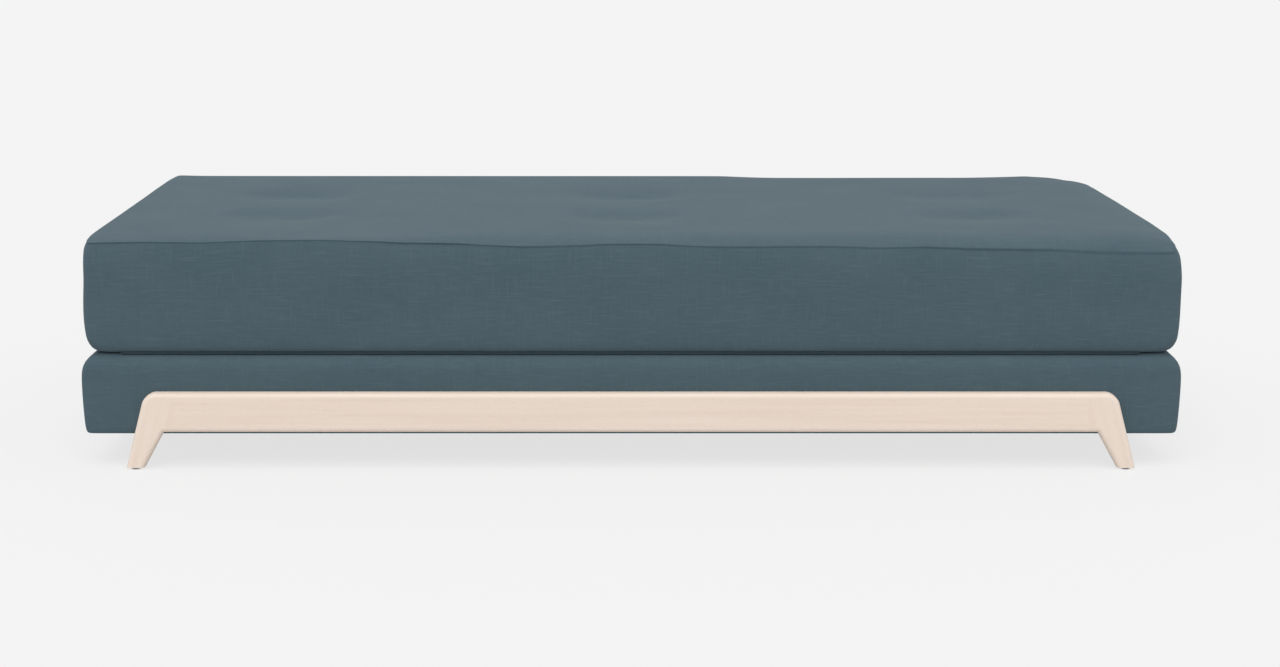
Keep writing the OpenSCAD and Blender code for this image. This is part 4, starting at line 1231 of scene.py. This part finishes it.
# The half sewn to the base, from inside the gap to the fold: y, and the height above middle_z
half_section = [(-mm(y), -mm(z)) for y, z in (
    (424.5, 0.75), (426, 0.85), (427.5, 0.95), (428.7, 0.8), (429.2, 0.35))]
section = [(y, middle_z + z) for y, z in half_section]
section += [(y, middle_z - z) for y, z in reversed(half_section)]
unfolded = [y for y, z in half_section] + [2 * hinge_y - y for y, z in reversed(half_section)]


def webbing_shape():
    """The hinge's section, extruded along the sofa, with the cloth's own UV map."""
    bm = bmesh.new()
    laid_out = bm.verts.layers.float.new("Laid out")
    spots = [bm.verts.new((strip_low[0], y, z)) for y, z in section]
    for spot, place in zip(spots, unfolded):
        spot[laid_out] = place
    edges = [bm.edges.new(pair) for pair in zip(spots, spots[1:])]
    step = (strip_high[0] - strip_low[0]) / strip_steps
    for _ in range(strip_steps):
        pulled = bmesh.ops.extrude_edge_only(bm, edges=edges)["geom"]
        edges = [e for e in pulled if isinstance(e, bmesh.types.BMEdge)]
        pull_out(bm, pulled, (step, 0, 0))
    layer = bm.loops.layers.uv.new("Cloth")
    for face in bm.faces:
        for loop in face.loops:
            loop[layer].uv = (loop.vert.co.x, loop.vert[laid_out])
    bmesh.ops.recalc_face_normals(bm, faces=bm.faces)
    return bm


strip = make_piece(webbing_shape(), "hinge_webbing", webbing, None,
                   ["hinge_strip_base", "hinge_strip_mattress"], smooth_below=180)
thick = strip.modifiers.new("Thickness", "SOLIDIFY")
thick.thickness = strip_thickness
thick.offset = 0
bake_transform(strip)

# %% [markdown]
# ## The zip
# The cover closes at the back with a nylon zip: a tape of twill, and on it a coil whose turns show
# as fine ribs. The tape is cloth, so it is made again with rounded edges. The coil is a bar with a
# rounded back.

# %% Zip tape and coil
def zip_bar(node, rounding, segments):
    """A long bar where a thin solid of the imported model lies, with its back edges rounded."""
    low, high = corners(node)
    bm = bar(low, high)
    round_edges(bm, [e for e in bm.edges if lies_on(e, 1, high[1])], rounding, segments)
    return bm, high - low


tape_shape, tape_size = zip_bar("zip_tape", rounding=mm(0.5), segments=2)
tape = make_piece(tape_shape, "zip_twill_tape", zip_twill, "mattress",
                  ["zip_tape"])
coil_shape, coil_size = zip_bar("zip_coil", rounding=mm(1.6), segments=5)
make_piece(coil_shape, "zip_nylon_coil", zip_nylon, "mattress", ["zip_coil"],
           smooth_below=60)
print("Zip tape", in_mm(tape_size), "mm, coil", in_mm(coil_size), "mm")

# %% [markdown]
# ## Floor and light
# The photograph is a cut-out on a pale ground in even light from above and in front. A large pale
# floor and a pale world make the ground. White light from the whole sky fills the scene, and one
# very soft sun from high in front makes the top brighter than the front and leaves a faint shadow.

# %% Pale floor
backdrop = linear("#F3F3F3")
# How much of the floor's own shading the camera doesn't see, which makes its shadow pale
hidden_shading = 0.8


def seen_rays(tree):
    """1 where the camera looks straight, in a mirror or through glass, and 0 for other light."""
    rays = add(tree, "LightPath").outputs
    seen = add(tree, "Math", {0: rays["Is Camera Ray"], 1: rays["Is Glossy Ray"]},
               operation="MAXIMUM")
    return add(tree, "Math", {0: seen, 1: rays["Is Transmission Ray"]}, operation="MAXIMUM")


def floor_material():
    """Matt paint, whose soft shadow the camera sees at less than its full strength."""
    material, tree, shader = new_material("Pale matt floor paint")
    feed(tree, shader, {
        "Base Color": linear("#DFDFDF"), "Roughness": 1.0, "Specular IOR Level": 0.0})
    paleness = add(tree, "Math", {0: seen_rays(tree), 1: hidden_shading}, operation="MULTIPLY")
    pale = add(tree, "Emission", {"Color": backdrop, "Strength": 1.025})
    both = add(tree, "MixShader", {0: paleness, 1: shader, 2: pale})
    output = next(node for node in tree.nodes if node.type == "OUTPUT_MATERIAL")
    feed(tree, output, {"Surface": both})
    return material


print("Backdrop", [round(channel, 3) for channel in backdrop[:3]], "in linear light")


# %% Floor, sky and sun
floor_half, floor_drop = 30, mm(0.5)
floor_bm = bmesh.new()
bmesh.ops.create_grid(floor_bm, x_segments=2, y_segments=2, size=floor_half)
bmesh.ops.translate(floor_bm, verts=floor_bm.verts, vec=(0, 0, -floor_drop))
floor_mesh = bpy.data.meshes.new("Floor")
floor_bm.to_mesh(floor_mesh)
floor_bm.free()
floor = new_object("Floor", floor_mesh)
floor_mesh.materials.append(floor_material())

world = bpy.data.worlds.new("Studio")
bpy.context.scene.world = world
world.use_nodes = True
sky = world.node_tree
sky.nodes.clear()
light = add(sky, "Background", {"Color": (1, 1, 1, 1), "Strength": 0.69})
ground = add(sky, "Background", {"Color": backdrop, "Strength": 1.0})
add(sky, "OutputWorld", {
    "Surface": add(sky, "MixShader", {0: seen_rays(sky), 1: light, 2: ground})})

sun = new_object("Soft sun", bpy.data.lights.new("Soft sun", "SUN"))
sun.data.energy = 1.54
sun.data.angle = math.radians(50)
sun.rotation_euler = (math.radians(27), math.radians(-4), 0)
bpy.context.scene.view_settings.view_transform = "Standard"
print("Sky", light.inputs["Strength"].default_value, "and sun", sun.data.energy)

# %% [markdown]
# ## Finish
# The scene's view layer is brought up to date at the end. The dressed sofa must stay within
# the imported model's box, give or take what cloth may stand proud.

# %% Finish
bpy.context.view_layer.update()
